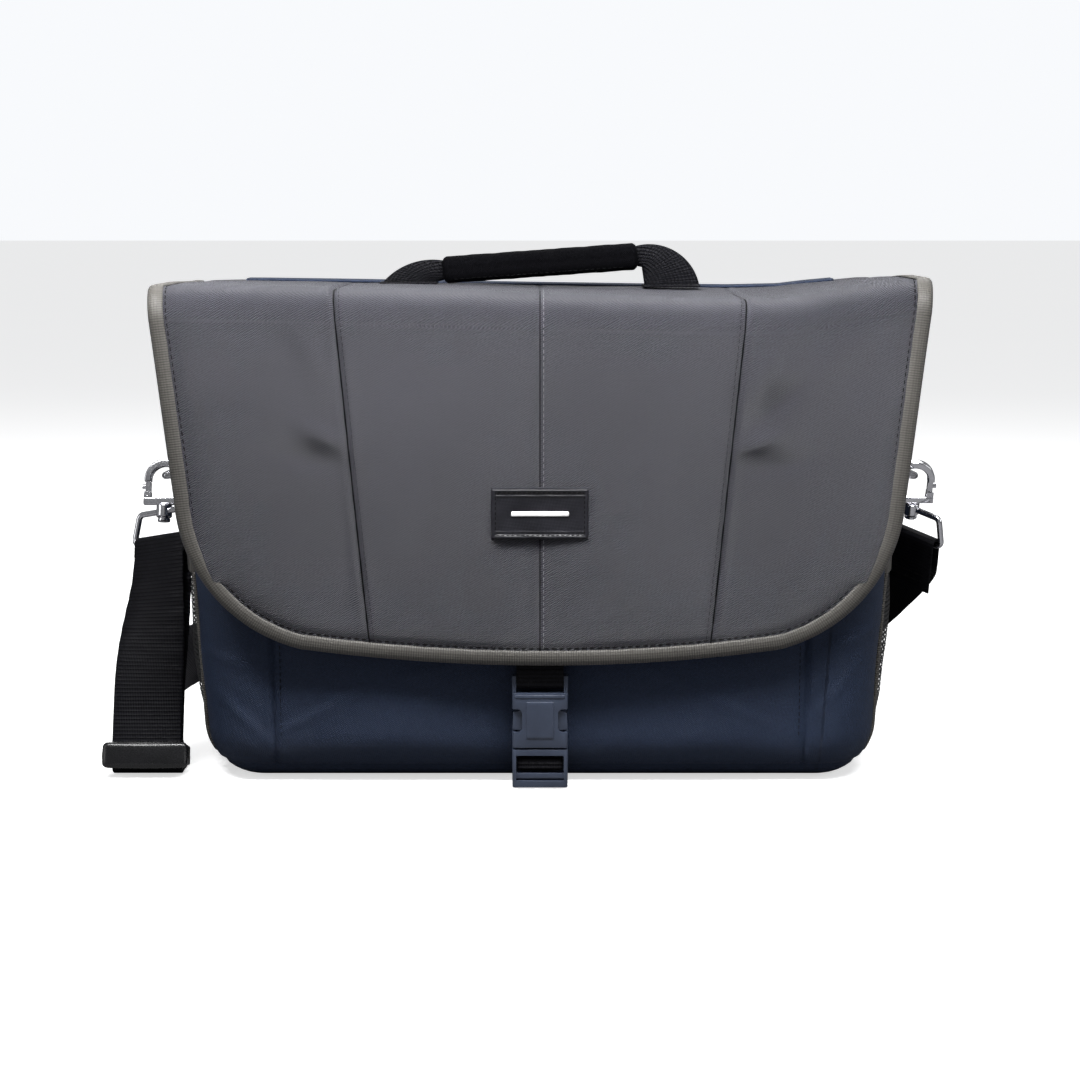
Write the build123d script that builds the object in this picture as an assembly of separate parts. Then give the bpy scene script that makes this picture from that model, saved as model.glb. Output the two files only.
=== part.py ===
"""A soft camera messenger bag: padded body, bound flap, side-release buckle, grab handle, shoulder strap.

Frame: millimetres, +Z up. The origin is on the floor, under the middle of the bag. The front of the bag
faces -Y, and +X is on the right of someone who faces the front.
"""

from build123d import *
import math
import os

os.makedirs("parts", exist_ok=True)

# --- the bag's body ---
half_base = 180.0  # half the body's width at the floor
half_rim = 196.0  # half the body's width at the rim
bag_depth = 152.0
rim_height = 250.0
plan_round = 30.0  # radius of the upright corners
base_round = 26.0  # radius where the walls turn under
fabric = 1.2  # outer cloth
wall_foam = 6.0
lining = 0.8
board = 2.0  # stiffener under the floor foam
base_seam = 8.0  # height of the seam between walls and base
front_seam = half_base - 38.0  # the front's upright seams, from the middle
tape = 2.0  # height of the tape round the rim
gap = 0.3  # between pieces that only touch

# --- the padded dividers ---
organizer_depth = 12.0  # front pocket, lining to divider
divider_foam = 5.0
organizer_top = rim_height - 35.0
laptop_depth = 16.0  # rear sleeve, divider to lining
laptop_top = rim_height - 18.0
cell_board = 8.0
cell_left = -58.0
cell_right = 62.0
cell_top = 150.0
lens_top = 120.0

# --- the side mesh pockets ---
mesh = 1.2
mesh_half = 44.0  # half the pocket's width along the bag's depth
mesh_low = 12.0
mesh_belly = 65.0  # height of the fullest part
mesh_top = 109.0
mesh_bulge = 11.0
mesh_mouth = 8.0
band_height = 8.0

# --- the flap ---
cover = 1.2
flap_foam = 4.3
flap_lining = 1.0
flap_half = half_rim + 7.0  # half its width at the top
flap_knee = (flap_half - 13.0, 155.0)  # x, z where the straight side starts to curve
flap_shoulder = (flap_half - 36.0, 101.0)
flap_heel = (flap_half - 77.0, 77.0)
flap_low = 68.5  # height of its lowest edge
flap_face = -(bag_depth / 2 + 15.0)  # y of its outer face
flap_crown = rim_height + 12.5  # z of its outer face on top
fold_round = 18.0  # outer radius where it turns down
binding = 0.8  # thickness of the edge tape
binding_width = 7.3
flap_tail = bag_depth / 2 - 8.0  # y where the padded top ends, at the rear
patch_size = (51.0, 27.0)
patch_height = 149.0
patch_thick = 1.8
emblem_size = (30.0, 2.6)
emblem_thick = 0.8

# --- the grab handle ---
handle_y = 25.0
handle_foot = (58.0, 90.0)  # x from and to, where each end is sewn down
handle_web = 3.0
grip_half = 56.0
grip_round = 7.5
grip_low_end = flap_crown + 9.0  # height of the grip's middle at its left end
grip_high_end = flap_crown + 17.0

# --- the side-release buckle ---
webbing = 1.5
buckle_web = 25.0
buckle_half = buckle_web / 2 + 2.3
buckle_rail = 2.1
buckle_front = -(bag_depth / 2 + 10.6)
buckle_back = -(bag_depth / 2 + 1.6)
female_low = 22.6
female_high = 52.0
tab_bar = 57.0  # height of the bar that the flap's tab goes round
buckle_top = 61.0
male_low = 0.9
male_high = 21.4
window_low = 31.0
window_high = 43.5
window_deep = 5.2
wall = 1.5  # the female half's front and back walls

# --- rings, hooks and the strap ---
strap_web = 38.0
strap = 1.6  # thickness of the strap's webbing
wire = 1.9  # radius of the ring's wire
ring_half = 13.5
ring_leg = 3.0
ring_bar_height = rim_height - 87.7
ring_lean = 75.0  # degrees that a ring stands out from the side
tab_web = 22.0
tab_rise = 34.0
hook_lean = 20.0  # degrees; forward on the left, backward on the right
hook_play = 3.0  # room over the ring's wire, so that the hook can turn
hook_throat = 7.5  # half the hook's inner width
hook_bar = 4.0
hook_depth = 5.0
hook_drop = 13.0  # inner height below the ring's wire
post = 2.2
post_play = 0.08
boss_round = 4.4
boss_height = 7.0
eye_wire = 1.7
eye_half_top = strap_web / 2
eye_half_low = strap_web / 2 + 3.5
eye_drop = 17.0
eye_turn = {"right": -45.0, "left": 35.0}  # degrees that each eye is turned on its post
slider_size = (strap_web + 7.5, 20.0)
slider_bar = 3.2
slider_slot = strap_web + 1.6
slider_thick = 2.0
slider_play = 0.25
slider_at = (-(half_rim + 18.5), -52.0, 14.5)
slider_lean = 20.0  # degrees from upright, top to the rear
slider_travel = 45.0
row_gap = 0.25  # height of the strap's lower edge over the floor
# y of the strap's three passes behind the bag
run_rows = (bag_depth / 2 + 148.0, bag_depth / 2 + 100.0, bag_depth / 2 + 52.0)
run_turns = (half_rim - 92.0, 136.0 - half_rim)  # x where the strap doubles back
run_ends = (46.0 - half_rim, half_rim - 84.0)
pad_size = (216.0, 60.0, 10.0)
pad_at = -24.0


# ---------------------------------------------------------------- helpers
def half_width(z):
    """Half the body's width at height z."""
    return half_base + (half_rim - half_base) * z / rim_height


def region(x0, x1, y0, y1, z0, z1):
    """A box between two corners."""
    return Pos((x0 + x1) / 2, (y0 + y1) / 2, (z0 + z1) / 2) * Box(abs(x1 - x0), abs(y1 - y0), abs(z1 - z0))


def tub(inset, top):
    """The body's full shape taken in by inset, from its floor up to top."""
    sections = [
        Plane.XY.offset(z)
        * RectangleRounded(2 * (half_width(z) - inset), bag_depth - 2 * inset, plan_round - inset)
        for z in (inset, top)
    ]
    body = loft(sections, ruled=True)
    floor_edges = body.edges().filter_by(lambda e: abs(e.center().Z - inset) < 0.01)
    return fillet(floor_edges, base_round - inset)


def band(points, radii, thick, width, axis="x", at=0.0):
    """A strip of webbing: a path of straight runs and arcs, thickened, then width wide across the path.

    With axis x the path is (y, z) points and the width runs along X about at.
    With axis z the path is (x, y) points and the width rises from at.
    """
    plane = Plane.YZ if axis == "x" else Plane.XY
    line = FilletPolyline(*points, radius=radii) if radii else Polyline(*points)
    face = trace(line, line_width=thick)
    low = at - width / 2 if axis == "x" else at
    return extrude(plane.offset(low) * face, amount=width)


def smooth(values, t):
    """A smooth curve through vectors, with t running from 0 to 1."""
    span = min(int(t * (len(values) - 1)), len(values) - 2)
    f = t * (len(values) - 1) - span
    p0, p1, p2, p3 = (values[min(max(span + k, 0), len(values) - 1)] for k in (-1, 0, 1, 2))
    return p1 + (p2 - p0) * (f / 2) + (p0 * 2 - p1 * 5 + p2 * 4 - p3) * (f * f / 2) + (
        p1 * 3 - p0 - p2 * 3 + p3) * (f**3 / 2)


def ribbon(stations, steps, width, thick):
    """Webbing that bends and twists: each station is its middle and the direction across it."""
    middles = [Vector(*middle) for middle, across in stations]
    widths = [Vector(*across).normalized() for middle, across in stations]
    sections = []
    for i in range(steps + 1):
        t = i / steps
        ahead = smooth(middles, min(1, t + 1e-3)) - smooth(middles, max(0, t - 1e-3))
        across = smooth(widths, t)
        across = across - ahead * (across.dot(ahead) / ahead.length**2)
        sections.append(Plane(origin=smooth(middles, t), x_dir=across, z_dir=ahead) * Rectangle(width, thick))
    return loft(sections, ruled=True)


def mirror_x(shape):
    return mirror(shape, about=Plane.YZ)


def write(name, shape):
    solids = shape.solids() if not isinstance(shape, list) else [s for p in shape for s in p.solids()]
    export_step(solids[0] if len(solids) == 1 else Compound(children=list(solids)), f"parts/{name}.step")
    print(name, len(solids))


# ---------------------------------------------------------------- body shell
half_depth = bag_depth / 2
flat_depth = half_depth - plan_round
in_cloth = fabric
in_foam = fabric + wall_foam
in_lining = in_foam + lining
far = 400.0  # past the bag on every side


def body_shell():
    """The outer cloth, cut at its seams."""
    skin = tub(0, rim_height) - tub(in_cloth, rim_height + tape)
    pieces = {
        "base_panel": region(-far, far, -far, far, -1, base_seam),
        "front_panel": region(-front_seam, front_seam, -far, 0, base_seam, far),
        "side_panel_left": region(-far, 0, -flat_depth, flat_depth, base_seam, far),
        "side_panel_right": region(0, far, -flat_depth, flat_depth, base_seam, far),
        "back_panel": region(-far, far, flat_depth, far, base_seam, far),
    }
    for name, place in pieces.items():
        write(name, skin & place)
    corners = [
        skin & region(-far, -front_seam, -far, -flat_depth, base_seam, far),
        skin & region(front_seam, far, -far, -flat_depth, base_seam, far),
    ]
    write("front_corner_panels", corners)


def body_padding():
    """Foam boards between the cloth and the lining, the floor's stiffener, the lining and the rim's tape."""
    core = tub(in_cloth, rim_height) - tub(in_foam, rim_height + tape)
    flat_x = half_base - plan_round - 8
    write("front_foam", core & region(-flat_x, flat_x, -far, 0, base_round, far))
    write("back_foam", core & region(-flat_x, flat_x, 0, far, base_round, far))
    reach = flat_depth - 2
    sides = [core & region(s * far, s * 60, -reach, reach, base_round, far) for s in (-1, 1)]
    write("side_foams", sides)
    write("base_board", region(-flat_x, flat_x, -reach, reach, in_cloth, in_cloth + board))
    write("base_foam", region(-flat_x, flat_x, -reach, reach, in_cloth + board, in_foam))
    write("lining", tub(in_foam, rim_height) - tub(in_lining, rim_height + tape))
    ring = tub(0, rim_height + tape) - tub(in_lining, rim_height + 2 * tape)
    write("rim_tape", ring & region(-far, far, -far, far, rim_height, far))


organizer_y = -half_depth + in_lining + organizer_depth
laptop_y = half_depth - in_lining - laptop_depth


def dividers():
    """Padded boards that part the inside: organizer, laptop sleeve and camera cells."""
    inside = tub(in_lining + gap, rim_height)
    board_front = region(-far, far, organizer_y, organizer_y + divider_foam, 0, organizer_top)
    board_rear = region(-far, far, laptop_y - divider_foam, laptop_y, 0, laptop_top)
    write("organizer_divider", inside & board_front)
    write("laptop_divider", inside & board_rear)
    y0 = organizer_y + divider_foam + gap
    y1 = laptop_y - divider_foam - gap
    low = in_lining + gap
    for name, x in (("cell_divider_left", cell_left), ("cell_divider_right", cell_right)):
        write(name, region(x - cell_board / 2, x + cell_board / 2, y0, y1, low, cell_top))
    middle = (y0 + y1) / 2
    lens = region(-far, cell_left - cell_board / 2 - gap, middle - 4, middle + 4, 0, lens_top)
    write("lens_divider", inside & lens)


# ---------------------------------------------------------------- mesh pockets
def pouch(inset, low, high, extra=0.0):
    """The right-hand pocket's outer shape taken in by inset, between two heights."""
    stations = [(low, 1.6 + inset), (mesh_belly, mesh_bulge), (high, mesh_mouth)]
    sections = []
    for z, bulge in stations:
        x = half_width(z)
        w = mesh_half - inset
        outer = ThreePointArc((x, -w), (x + bulge - inset + extra, 0), (x, w))
        back = Polyline((x, w), (x - 6, w), (x - 6, -w), (x, -w))
        sections.append(Plane.XY.offset(z) * make_face(outer + back))
    return loft(sections)


def mesh_pockets():
    """A bellied mesh pocket on each side, with an elastic band round its mouth."""
    body = tub(0, rim_height)
    net = pouch(0, mesh_low, mesh_top) - pouch(mesh, mesh_low + 2, mesh_top + 1) - body
    net = net & region(0, far, -far, far, mesh_low, mesh_top)
    rise = region(0, far, -far, far, mesh_top, mesh_top + band_height)
    x0, x1 = half_width(mesh_top), half_width(mesh_top + band_height)

    def mouth(inset, z, x):
        w = mesh_half - inset
        outer = ThreePointArc((x, -w), (x + mesh_mouth - inset, 0), (x, w))
        return Plane.XY.offset(z) * make_face(outer + Polyline((x, w), (x - 6, w), (x - 6, -w), (x, -w)))

    top = mesh_top + band_height
    outer = loft([mouth(-0.9, mesh_top, x0), mouth(-0.9, top, x1)], ruled=True)
    inner = loft([mouth(1.4, mesh_top - 1, x0), mouth(1.4, top + 1, x1)], ruled=True)
    elastic = (outer - inner - body) & rise
    write("mesh_pocket_right", net)
    write("mesh_pocket_left", mirror_x(net))
    write("pocket_bands", [elastic, mirror_x(elastic)])


# ---------------------------------------------------------------- flap
flap_thick = cover + flap_foam + flap_lining
fold_y = flap_face + fold_round
fold_z = flap_crown - fold_round


def flap_outline(inset):
    """The flap's front seen from the front, taken in by inset, down from the fold."""
    side_x = flap_half + (flap_knee[0] - flap_half) * (flap_crown - fold_z) / (flap_crown - flap_knee[1])
    top = (side_x, fold_z)
    right = Line(top, flap_knee) + ThreePointArc(flap_knee, flap_shoulder, flap_heel)
    left = ThreePointArc((-flap_heel[0], flap_heel[1]), (-flap_shoulder[0], flap_shoulder[1]),
                         (-flap_knee[0], flap_knee[1])) + Line((-flap_knee[0], flap_knee[1]), (-side_x, fold_z))
    bottom = ThreePointArc(flap_heel, (0, flap_low), (-flap_heel[0], flap_heel[1]))
    # closed high above the fold, so that taking it in leaves the fold's edge alone
    roof = Polyline((-side_x, fold_z), (-side_x, fold_z + 40), (side_x, fold_z + 40), top)
    face = make_face(right + bottom + left + roof)
    return offset(face, amount=-inset) if inset else face


def flap_slab(inset, y0, y1):
    """A layer of the flap's front between two y planes."""
    face = Plane.XZ.offset(-y1) * flap_outline(inset)
    slab = extrude(face, amount=y1 - y0)
    return slab & region(-far, far, -far, far, 0, fold_z)


def flap_front():
    """The hanging front of the flap: cover, foam, lining, edge tape, patch and the buckle's tab."""
    y_foam = flap_face + cover
    y_lining = y_foam + flap_foam
    y_in = flap_face + flap_thick
    write("flap_front_cover", flap_slab(binding, flap_face, y_foam))
    write("flap_front_foam", flap_slab(binding, y_foam, y_lining))
    write("flap_front_lining", flap_slab(binding, y_lining, y_in))
    rim = flap_slab(0, flap_face - binding, y_in + binding) - flap_slab(binding_width, flap_face - 5, y_in + 5)
    write("flap_front_tape", rim - flap_slab(binding, flap_face, y_in))
    plate = Pos(0, flap_face - patch_thick / 2, patch_height) * Box(patch_size[0], patch_thick, patch_size[1])
    plate = fillet(plate.edges().filter_by(Axis.Y), 1.2)
    write("flap_patch", plate)
    mark_y = flap_face - patch_thick - emblem_thick / 2
    mark = Pos(0, mark_y, patch_height) * Box(emblem_size[0], emblem_thick, emblem_size[1])
    write("patch_emblem", fillet(mark.edges().filter_by(Axis.Y), emblem_size[1] / 2 - 0.1))


def flap_top():
    """The flap's top: cover, foam, lining, edge tape, the bend at the front and the hinge strip at the rear."""
    z_foam = flap_crown - cover
    z_lining = z_foam - flap_foam
    z_in = flap_crown - flap_thick
    half = flap_half - binding
    for name, z0, z1 in (
        ("flap_top_cover", z_foam, flap_crown),
        ("flap_top_foam", z_lining, z_foam),
        ("flap_top_lining", z_in, z_lining),
    ):
        write(name, region(-half, half, fold_y, flap_tail, z0, z1))
    hem = region(flap_half - binding_width, flap_half, fold_y, flap_tail, z_in - binding, flap_crown + binding)
    hem = hem - region(0, half, fold_y - 1, flap_tail + 1, z_in, flap_crown)
    write("flap_top_tape", [hem, mirror_x(hem)])
    # a quarter turn of the whole thickness, between the top and the front
    bend_half = flap_half - 1.6
    ring = Circle(fold_round) - Circle(fold_round - flap_thick)
    quarter = ring & (Pos(-fold_round / 2, fold_round / 2) * Rectangle(fold_round, fold_round))
    bend = extrude(Plane.YZ.offset(-bend_half) * (Pos(fold_y, fold_z) * quarter), amount=2 * bend_half)
    write("flap_bend", bend)
    # one ply of cloth from the back panel over to the padded top
    y_out = half_depth + gap + fabric / 2
    z_top = flap_crown - fabric / 2
    low = rim_height - 22
    radius = y_out - flap_tail - 0.6
    write("flap_hinge_strip", band([(y_out, low), (y_out, z_top), (flap_tail + gap, z_top)], [radius],
                                   fabric, 2 * half_rim - 8))


# ---------------------------------------------------------------- handle
handle_foot_thick = 1.4
handle_axis = flap_crown + gap + handle_foot_thick + gap + handle_web / 2


def handle():
    """Webbing sewn down at both ends, running through a padded grip."""
    foot_in, foot_out = handle_foot
    z0 = handle_axis
    high, low = grip_high_end, grip_low_end
    fans = []
    for side, mid in ((1, high), (-1, low)):
        inner = (side * grip_half, mid - 5)
        upper = (side * grip_half, mid + 5)
        foot_a = (side * foot_in, z0)
        foot_b = (side * foot_out, z0)
        crest = (side * (foot_in + 24), mid - (mid - z0) * 0.12)
        outline = Line(inner, upper) + ThreePointArc(upper, crest, foot_b)
        outline = outline + Line(foot_b, foot_a) + Line(foot_a, inner)
        face = Plane.XZ.offset(-handle_y - handle_web / 2) * make_face(outline)
        fans.append(extrude(face, amount=handle_web))
    slope = math.degrees(math.atan2(high - low, 2 * grip_half))
    frame = Pos(0, handle_y, (high + low) / 2) * Rot(0, -slope, 0)
    length = math.hypot(2 * grip_half, high - low)
    inner_web = frame * Box(length, handle_web, 9.0)
    write("handle_webbing", fans[0] + inner_web + fans[1])
    tube = frame * (Rot(0, 90, 0) * Cylinder(grip_round, length - 2))
    core = frame * Box(length + 2, handle_web + 2 * gap, 9.0 + 2 * gap)
    write("handle_grip", fillet(tube.edges(), 1.5) - core)
    feet = []
    for side in (-1, 1):
        x = side * (foot_in + foot_out) / 2
        foot = Pos(x, handle_y, flap_crown + gap + handle_foot_thick / 2) * Box(foot_out - foot_in, 22,
                                                                           handle_foot_thick)
        feet.append(foot)
    write("handle_feet", feet)


# ---------------------------------------------------------------- buckle
def buckle():
    """Side-release buckle: the flap's half and its tab, the bag's half, two spring arms and the webbing."""
    mid_y = (buckle_front + buckle_back) / 2
    thick = buckle_back - buckle_front
    shell = region(-buckle_half, buckle_half, buckle_front, buckle_back, female_low, female_high)
    shell = fillet(shell.edges().filter_by(Axis.Z), 2.2)
    hollow = region(-buckle_half + 1.7, buckle_half - 1.7, buckle_front + wall, buckle_back - wall,
                    female_low - 1, female_high - 3)
    windows = []
    for s in (-1, 1):
        cut = region(min(s * (buckle_half + 1), s * (buckle_half - window_deep)),
                     max(s * (buckle_half + 1), s * (buckle_half - window_deep)),
                     buckle_front - 1, buckle_back + 1, window_low, window_high)
        inner_edges = cut.edges().filter_by(Axis.Y).filter_by(
            lambda e, s=s: abs(e.center().X) < buckle_half - window_deep + 0.1)
        windows.append(fillet(inner_edges, 2.4))
    rail = region(buckle_half - buckle_rail, buckle_half, mid_y - 2.6, mid_y + 2.6, female_high - 2, buckle_top)
    rails = [rail, mirror_x(rail)]
    bar = Pos(0, mid_y, tab_bar) * (Rot(0, 90, 0) * Cylinder(1.7, 2 * (buckle_half - buckle_rail) + 1))
    female = shell - hollow - windows[0] - windows[1] + rails[0] + rails[1] + bar
    write("buckle_female", female)

    # the tab goes down in front of the bar, round it and up behind, then lies flat on the flap's lining
    front_y = mid_y - 1.7 - 0.15 - webbing / 2
    back_y = mid_y + 1.7 + 0.15 + webbing / 2
    turn = 1.7 + 0.15 + webbing / 2
    sewn_y = flap_face + flap_thick + binding + gap + webbing / 2
    loop_low = tab_bar - turn
    front_ply = [(sewn_y, 104.0), (sewn_y, 68.0), (front_y, 63.5), (front_y, loop_low),
                 (mid_y + 0.01, loop_low)]
    back_ply = [(mid_y + 0.01, loop_low), (back_y, loop_low), (back_y, 64.5), (sewn_y + webbing + 0.05, 68.5),
                (sewn_y + webbing + 0.05, 104.0)]
    front_tab = band(front_ply, [4, 4, turn - 0.05], webbing, buckle_web)
    back_tab = band(back_ply, [turn - 0.05, 3, 3], webbing, buckle_web)
    write("buckle_tab", front_tab + back_tab)

    # the bag's half: a frame with a fixed bar and a tensioning bar
    base = region(-buckle_half, buckle_half, buckle_front, buckle_back, male_low, male_high)
    base = fillet(base.edges().filter_by(Axis.Z), 2.0)
    slot = region(-buckle_half + buckle_rail, buckle_half - buckle_rail, buckle_front - 1, buckle_back + 1,
                  male_low + 3.6, male_high - 3.2)
    bar_high = Pos(0, mid_y, 14.0) * (Rot(0, 90, 0) * Cylinder(1.6, 2 * (buckle_half - buckle_rail) + 1))
    bar_low = region(-buckle_half + 1, buckle_half - 1, mid_y - 3.4, mid_y - 0.4, 5.6, 8.4)
    male = base - slot + bar_high + bar_low
    write("buckle_male", male)

    # spring arms: each starts on the frame, runs up inside the shell and ends in a button in the window
    for name, s in (("buckle_arm_left", -1), ("buckle_arm_right", 1)):
        depth = thick - 2 * wall - 2 * gap
        root = (s * 7.2, male_high + gap)
        points = [
            root, (s * 9.6, male_high + gap), (s * 10.6, window_low + 0.6),
            (s * (buckle_half - 0.1), window_low + 1.2), (s * (buckle_half - 0.6), window_high - 2.5),
            (s * 11.0, window_high - 1.0), (s * 8.0, female_high - 5.2),
            (s * 6.2, female_high - 5.6), (s * 8.2, window_high - 3.5), (s * 8.0, window_low + 3.0), root,
        ]
        face = Plane.XZ.offset(-mid_y - depth / 2) * make_face(Polyline(*points))
        arm = extrude(face, amount=depth)
        write(name, arm)

    # webbing from the base seam, up behind the frame, over the upper bar and down in front of it
    turn_high = 1.6 + 0.15 + webbing / 2
    behind = mid_y + turn_high
    before = mid_y - turn_high
    top = 14.0 + turn_high
    start = (buckle_back + 7.2, base_seam + 0.6)
    lead = [start, (behind, base_seam + 0.6), (behind, top), (mid_y, top)]
    tail = [(mid_y, top), (before, top), (before, 10.6)]
    rising = band(lead, [1.2, turn_high - 0.05], webbing, buckle_web - 1)
    falling = band(tail, [turn_high - 0.05], webbing, buckle_web - 1)
    write("buckle_webbing", rising + falling)


# ---------------------------------------------------------------- rings and hooks
tab_x = half_width(ring_bar_height) + webbing + gap
ring_x = tab_x + wire + 0.2
ring_height = ring_leg + ring_half
wire_x = ring_x + ring_height * math.sin(math.radians(ring_lean))
wire_z = ring_bar_height - ring_height * math.cos(math.radians(ring_lean))


def ring():
    """A D-ring in its own frame: bar along Y through the origin, bow hanging towards -Z."""
    foot_a, foot_b = (-ring_half, -ring_leg), (ring_half, -ring_leg)
    path = Line((-ring_half, 0), foot_a) + ThreePointArc(foot_a, (0, -ring_leg - ring_half), foot_b)
    path = path + Line(foot_b, (ring_half, 0))
    path = Plane.YZ * path
    bow_solid = sweep(Plane(origin=path @ 0, z_dir=path % 0) * Circle(wire), path=path)
    bar = Rot(90, 0, 0) * Cylinder(wire, 2 * ring_half)
    caps = [Pos(0, s * ring_half, 0) * Sphere(wire) for s in (-1, 1)]
    return bow_solid + bar + caps[0] + caps[1]


def ring_tab():
    """Webbing loop, sewn flat to the right-hand side panel, that holds the ring's bar."""
    turn = wire + 0.2 + webbing / 2
    inner = -turn
    loop = Circle(turn + webbing / 2) - Circle(turn - webbing / 2)
    lower = loop & (Pos(0, -5) * Rectangle(20, 10))
    plies = [Pos(inner, tab_rise / 2) * Rectangle(webbing, tab_rise)]
    rise = Polyline((turn, 0), (turn, 5), (inner + webbing + 0.02, 14), (inner + webbing + 0.02, tab_rise))
    profile = lower + plies[0] + trace(rise, line_width=webbing)
    return extrude(Plane.XZ.offset(-tab_web / 2) * profile, amount=tab_web)


def hook():
    """The snap hook in its own frame: the ring's wire at the origin, the bag towards -X, the post down."""
    inner_top = wire + hook_play
    crown = hook_throat + hook_bar
    base_z = -hook_drop
    low = base_z - hook_bar
    arch_z = inner_top - hook_throat
    outline = Circle(crown)
    outline = Pos(0, arch_z) * outline + Pos(0, (arch_z + low) / 2) * Rectangle(2 * crown, arch_z - low)
    throat = Pos(0, arch_z) * Circle(hook_throat) + Pos(0, (arch_z + base_z) / 2) * Rectangle(2 * hook_throat,
                                                                                        arch_z - base_z)
    mouth_width = 2 * hook_bar + 4
    mouth = Pos(crown, (arch_z - 1 + base_z) / 2) * Rectangle(mouth_width, arch_z - 1 - base_z)
    body = extrude(Plane.XZ.offset(-hook_depth / 2) * (outline - throat - mouth), amount=hook_depth)
    body = fillet(body.edges().filter_by(lambda e: e.length > 6), 0.9)
    gate_z = base_z + 1.6
    notch = region(hook_throat - 0.2, crown + 1, -1.9, 1.9, base_z - 2.6, base_z + 0.1)
    ear = region(hook_throat + 0.1, crown - 0.1, -hook_depth / 2, hook_depth / 2, base_z - 0.2, base_z + 3.2)
    body = body - notch + (ear - region(0, 20, -1.9, 1.9, base_z - 3, base_z + 4))
    pin_bore = Pos(hook_throat + 2.0, 0, gate_z) * (Rot(90, 0, 0) * Cylinder(0.95, 20))
    stem = Pos(0, 0, low - boss_height / 2 - 0.6) * Cylinder(post, boss_height + 1.2)
    head = Pos(0, 0, low - boss_height - 1.9) * Cylinder(3.5, 1.5)
    return body - pin_bore + stem + head, gate_z, low


def gate(gate_z):
    """The spring gate: a narrow lever on a pin, closing the hook's mouth."""
    inner_top = wire + hook_play
    arch_z = inner_top - hook_throat
    tip = arch_z - 1 - 0.35
    lever = region(hook_throat + 0.25, hook_throat + 3.2, -1.7, 1.7, gate_z - 1.5, tip)
    lever = fillet(lever.edges().filter_by(Axis.Y), 0.6)
    stud = Pos(hook_throat + hook_bar, 0, (gate_z + tip) / 2 + 1) * (Rot(0, 90, 0) * Cylinder(1.3, 2.4))
    bore = Pos(hook_throat + 2.0, 0, gate_z) * (Rot(90, 0, 0) * Cylinder(0.95, 20))
    return lever + stud - bore


def gate_pin(gate_z):
    return Pos(hook_throat + 2.0, 0, gate_z) * (Rot(90, 0, 0) * Cylinder(0.9, hook_depth - 0.2))


def eye(low):
    """The strap's eye: a wire frame with a boss that turns on the hook's post."""
    boss_top = low - 0.3
    z_bar = boss_top - boss_height / 2
    z_low = z_bar - eye_drop
    corners = [(0, z_bar), (eye_half_top, z_bar), (eye_half_low, z_low), (-eye_half_low, z_low),
               (-eye_half_top, z_bar), (0, z_bar)]
    # half the frame, so that the path is open, then its mirror image
    half = Plane.XZ * FilletPolyline(*[(x, z) for x, z in corners[:3]] + [(0, z_low)], radius=3.2)
    arm = sweep(Plane(origin=half @ 0, z_dir=half % 0) * Circle(eye_wire), path=half)
    frame = arm + mirror_x(arm)
    boss = Pos(0, 0, z_bar) * Cylinder(boss_round, boss_height)
    boss = fillet(boss.edges(), 0.8)
    bore = Pos(0, 0, z_bar) * Cylinder(post + post_play, boss_height + 4)
    return frame + boss - bore, z_low


def hang(shape, side):
    """Places a right-hand shape from the hook's frame: leaning back on the right, forward on the left."""
    leaned = Pos(wire_x, 0, wire_z) * (Rot(hook_lean * side, 0, 0) * shape)
    return leaned if side > 0 else mirror_x(leaned)


def hardware():
    """Rings, tabs, hooks, gates and eyes on both sides."""
    lean = Rot(0, -ring_lean, 0)
    right_ring = Pos(ring_x, 0, ring_bar_height) * (lean * ring())
    write("ring_right", right_ring)
    write("ring_left", mirror_x(right_ring))
    slope = math.degrees(math.atan2(half_rim - half_base, rim_height))
    tab = Pos(ring_x, 0, ring_bar_height) * (Rot(0, slope, 0) * ring_tab())
    write("ring_tabs", [tab, mirror_x(tab)])
    body, gate_z, low = hook()
    frame, z_low = eye(low)
    for name, side in (("right", 1), ("left", -1)):
        write(f"hook_{name}", hang(body, side))
        write(f"gate_{name}", hang(gate(gate_z), side))
        write(f"gate_pin_{name}", hang(gate_pin(gate_z), side))
        write(f"eye_{name}", hang(Rot(0, 0, eye_turn[name]) * frame, side))
    return z_low


# ---------------------------------------------------------------- strap
loop_inner = 2.35  # radius inside a turn of strap round an eye's bar


def strap_over_bar(eye_low, run, tail):
    """Webbing round the eye's lower bar, in the eye's own frame: a half turn and two straight plies."""
    middle = loop_inner + strap / 2
    cap = (Circle(middle + strap / 2) - Circle(middle - strap / 2)) & (Pos(0, 10) * Rectangle(30, 20))
    cap = Pos(0, eye_low) * cap
    down = Pos(middle, eye_low - run / 2) * Rectangle(strap, run)
    other = Pos(-middle, eye_low - tail / 2) * Rectangle(strap, tail)
    plane = Plane(origin=(-strap_web / 2, 0, 0), x_dir=(0, 1, 0), z_dir=(1, 0, 0))
    return extrude(plane * (cap + down + other), amount=strap_web)


def from_eye(name, side, local):
    """A point of an eye's own frame and the direction across it, as a station in the bag's frame."""
    frame = Pos(wire_x, 0, wire_z) * Rot(hook_lean * side, 0, 0) * Rot(0, 0, eye_turn[name])
    point = (frame * Pos(*local)).position
    way = (frame * Pos(side, 0, 0)).position - frame.position
    return (side * point.X, point.Y, point.Z), (side * way.X, way.Y, way.Z)


def slider_place(along, out=0.0):
    """A point on the slider's own axis (y, z): along the strap's drop, and out from its plane to the front."""
    a = math.radians(slider_lean)
    return (slider_at[1] + along * math.sin(a) - out * math.cos(a),
            slider_at[2] + along * math.cos(a) + out * math.sin(a))


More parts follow.
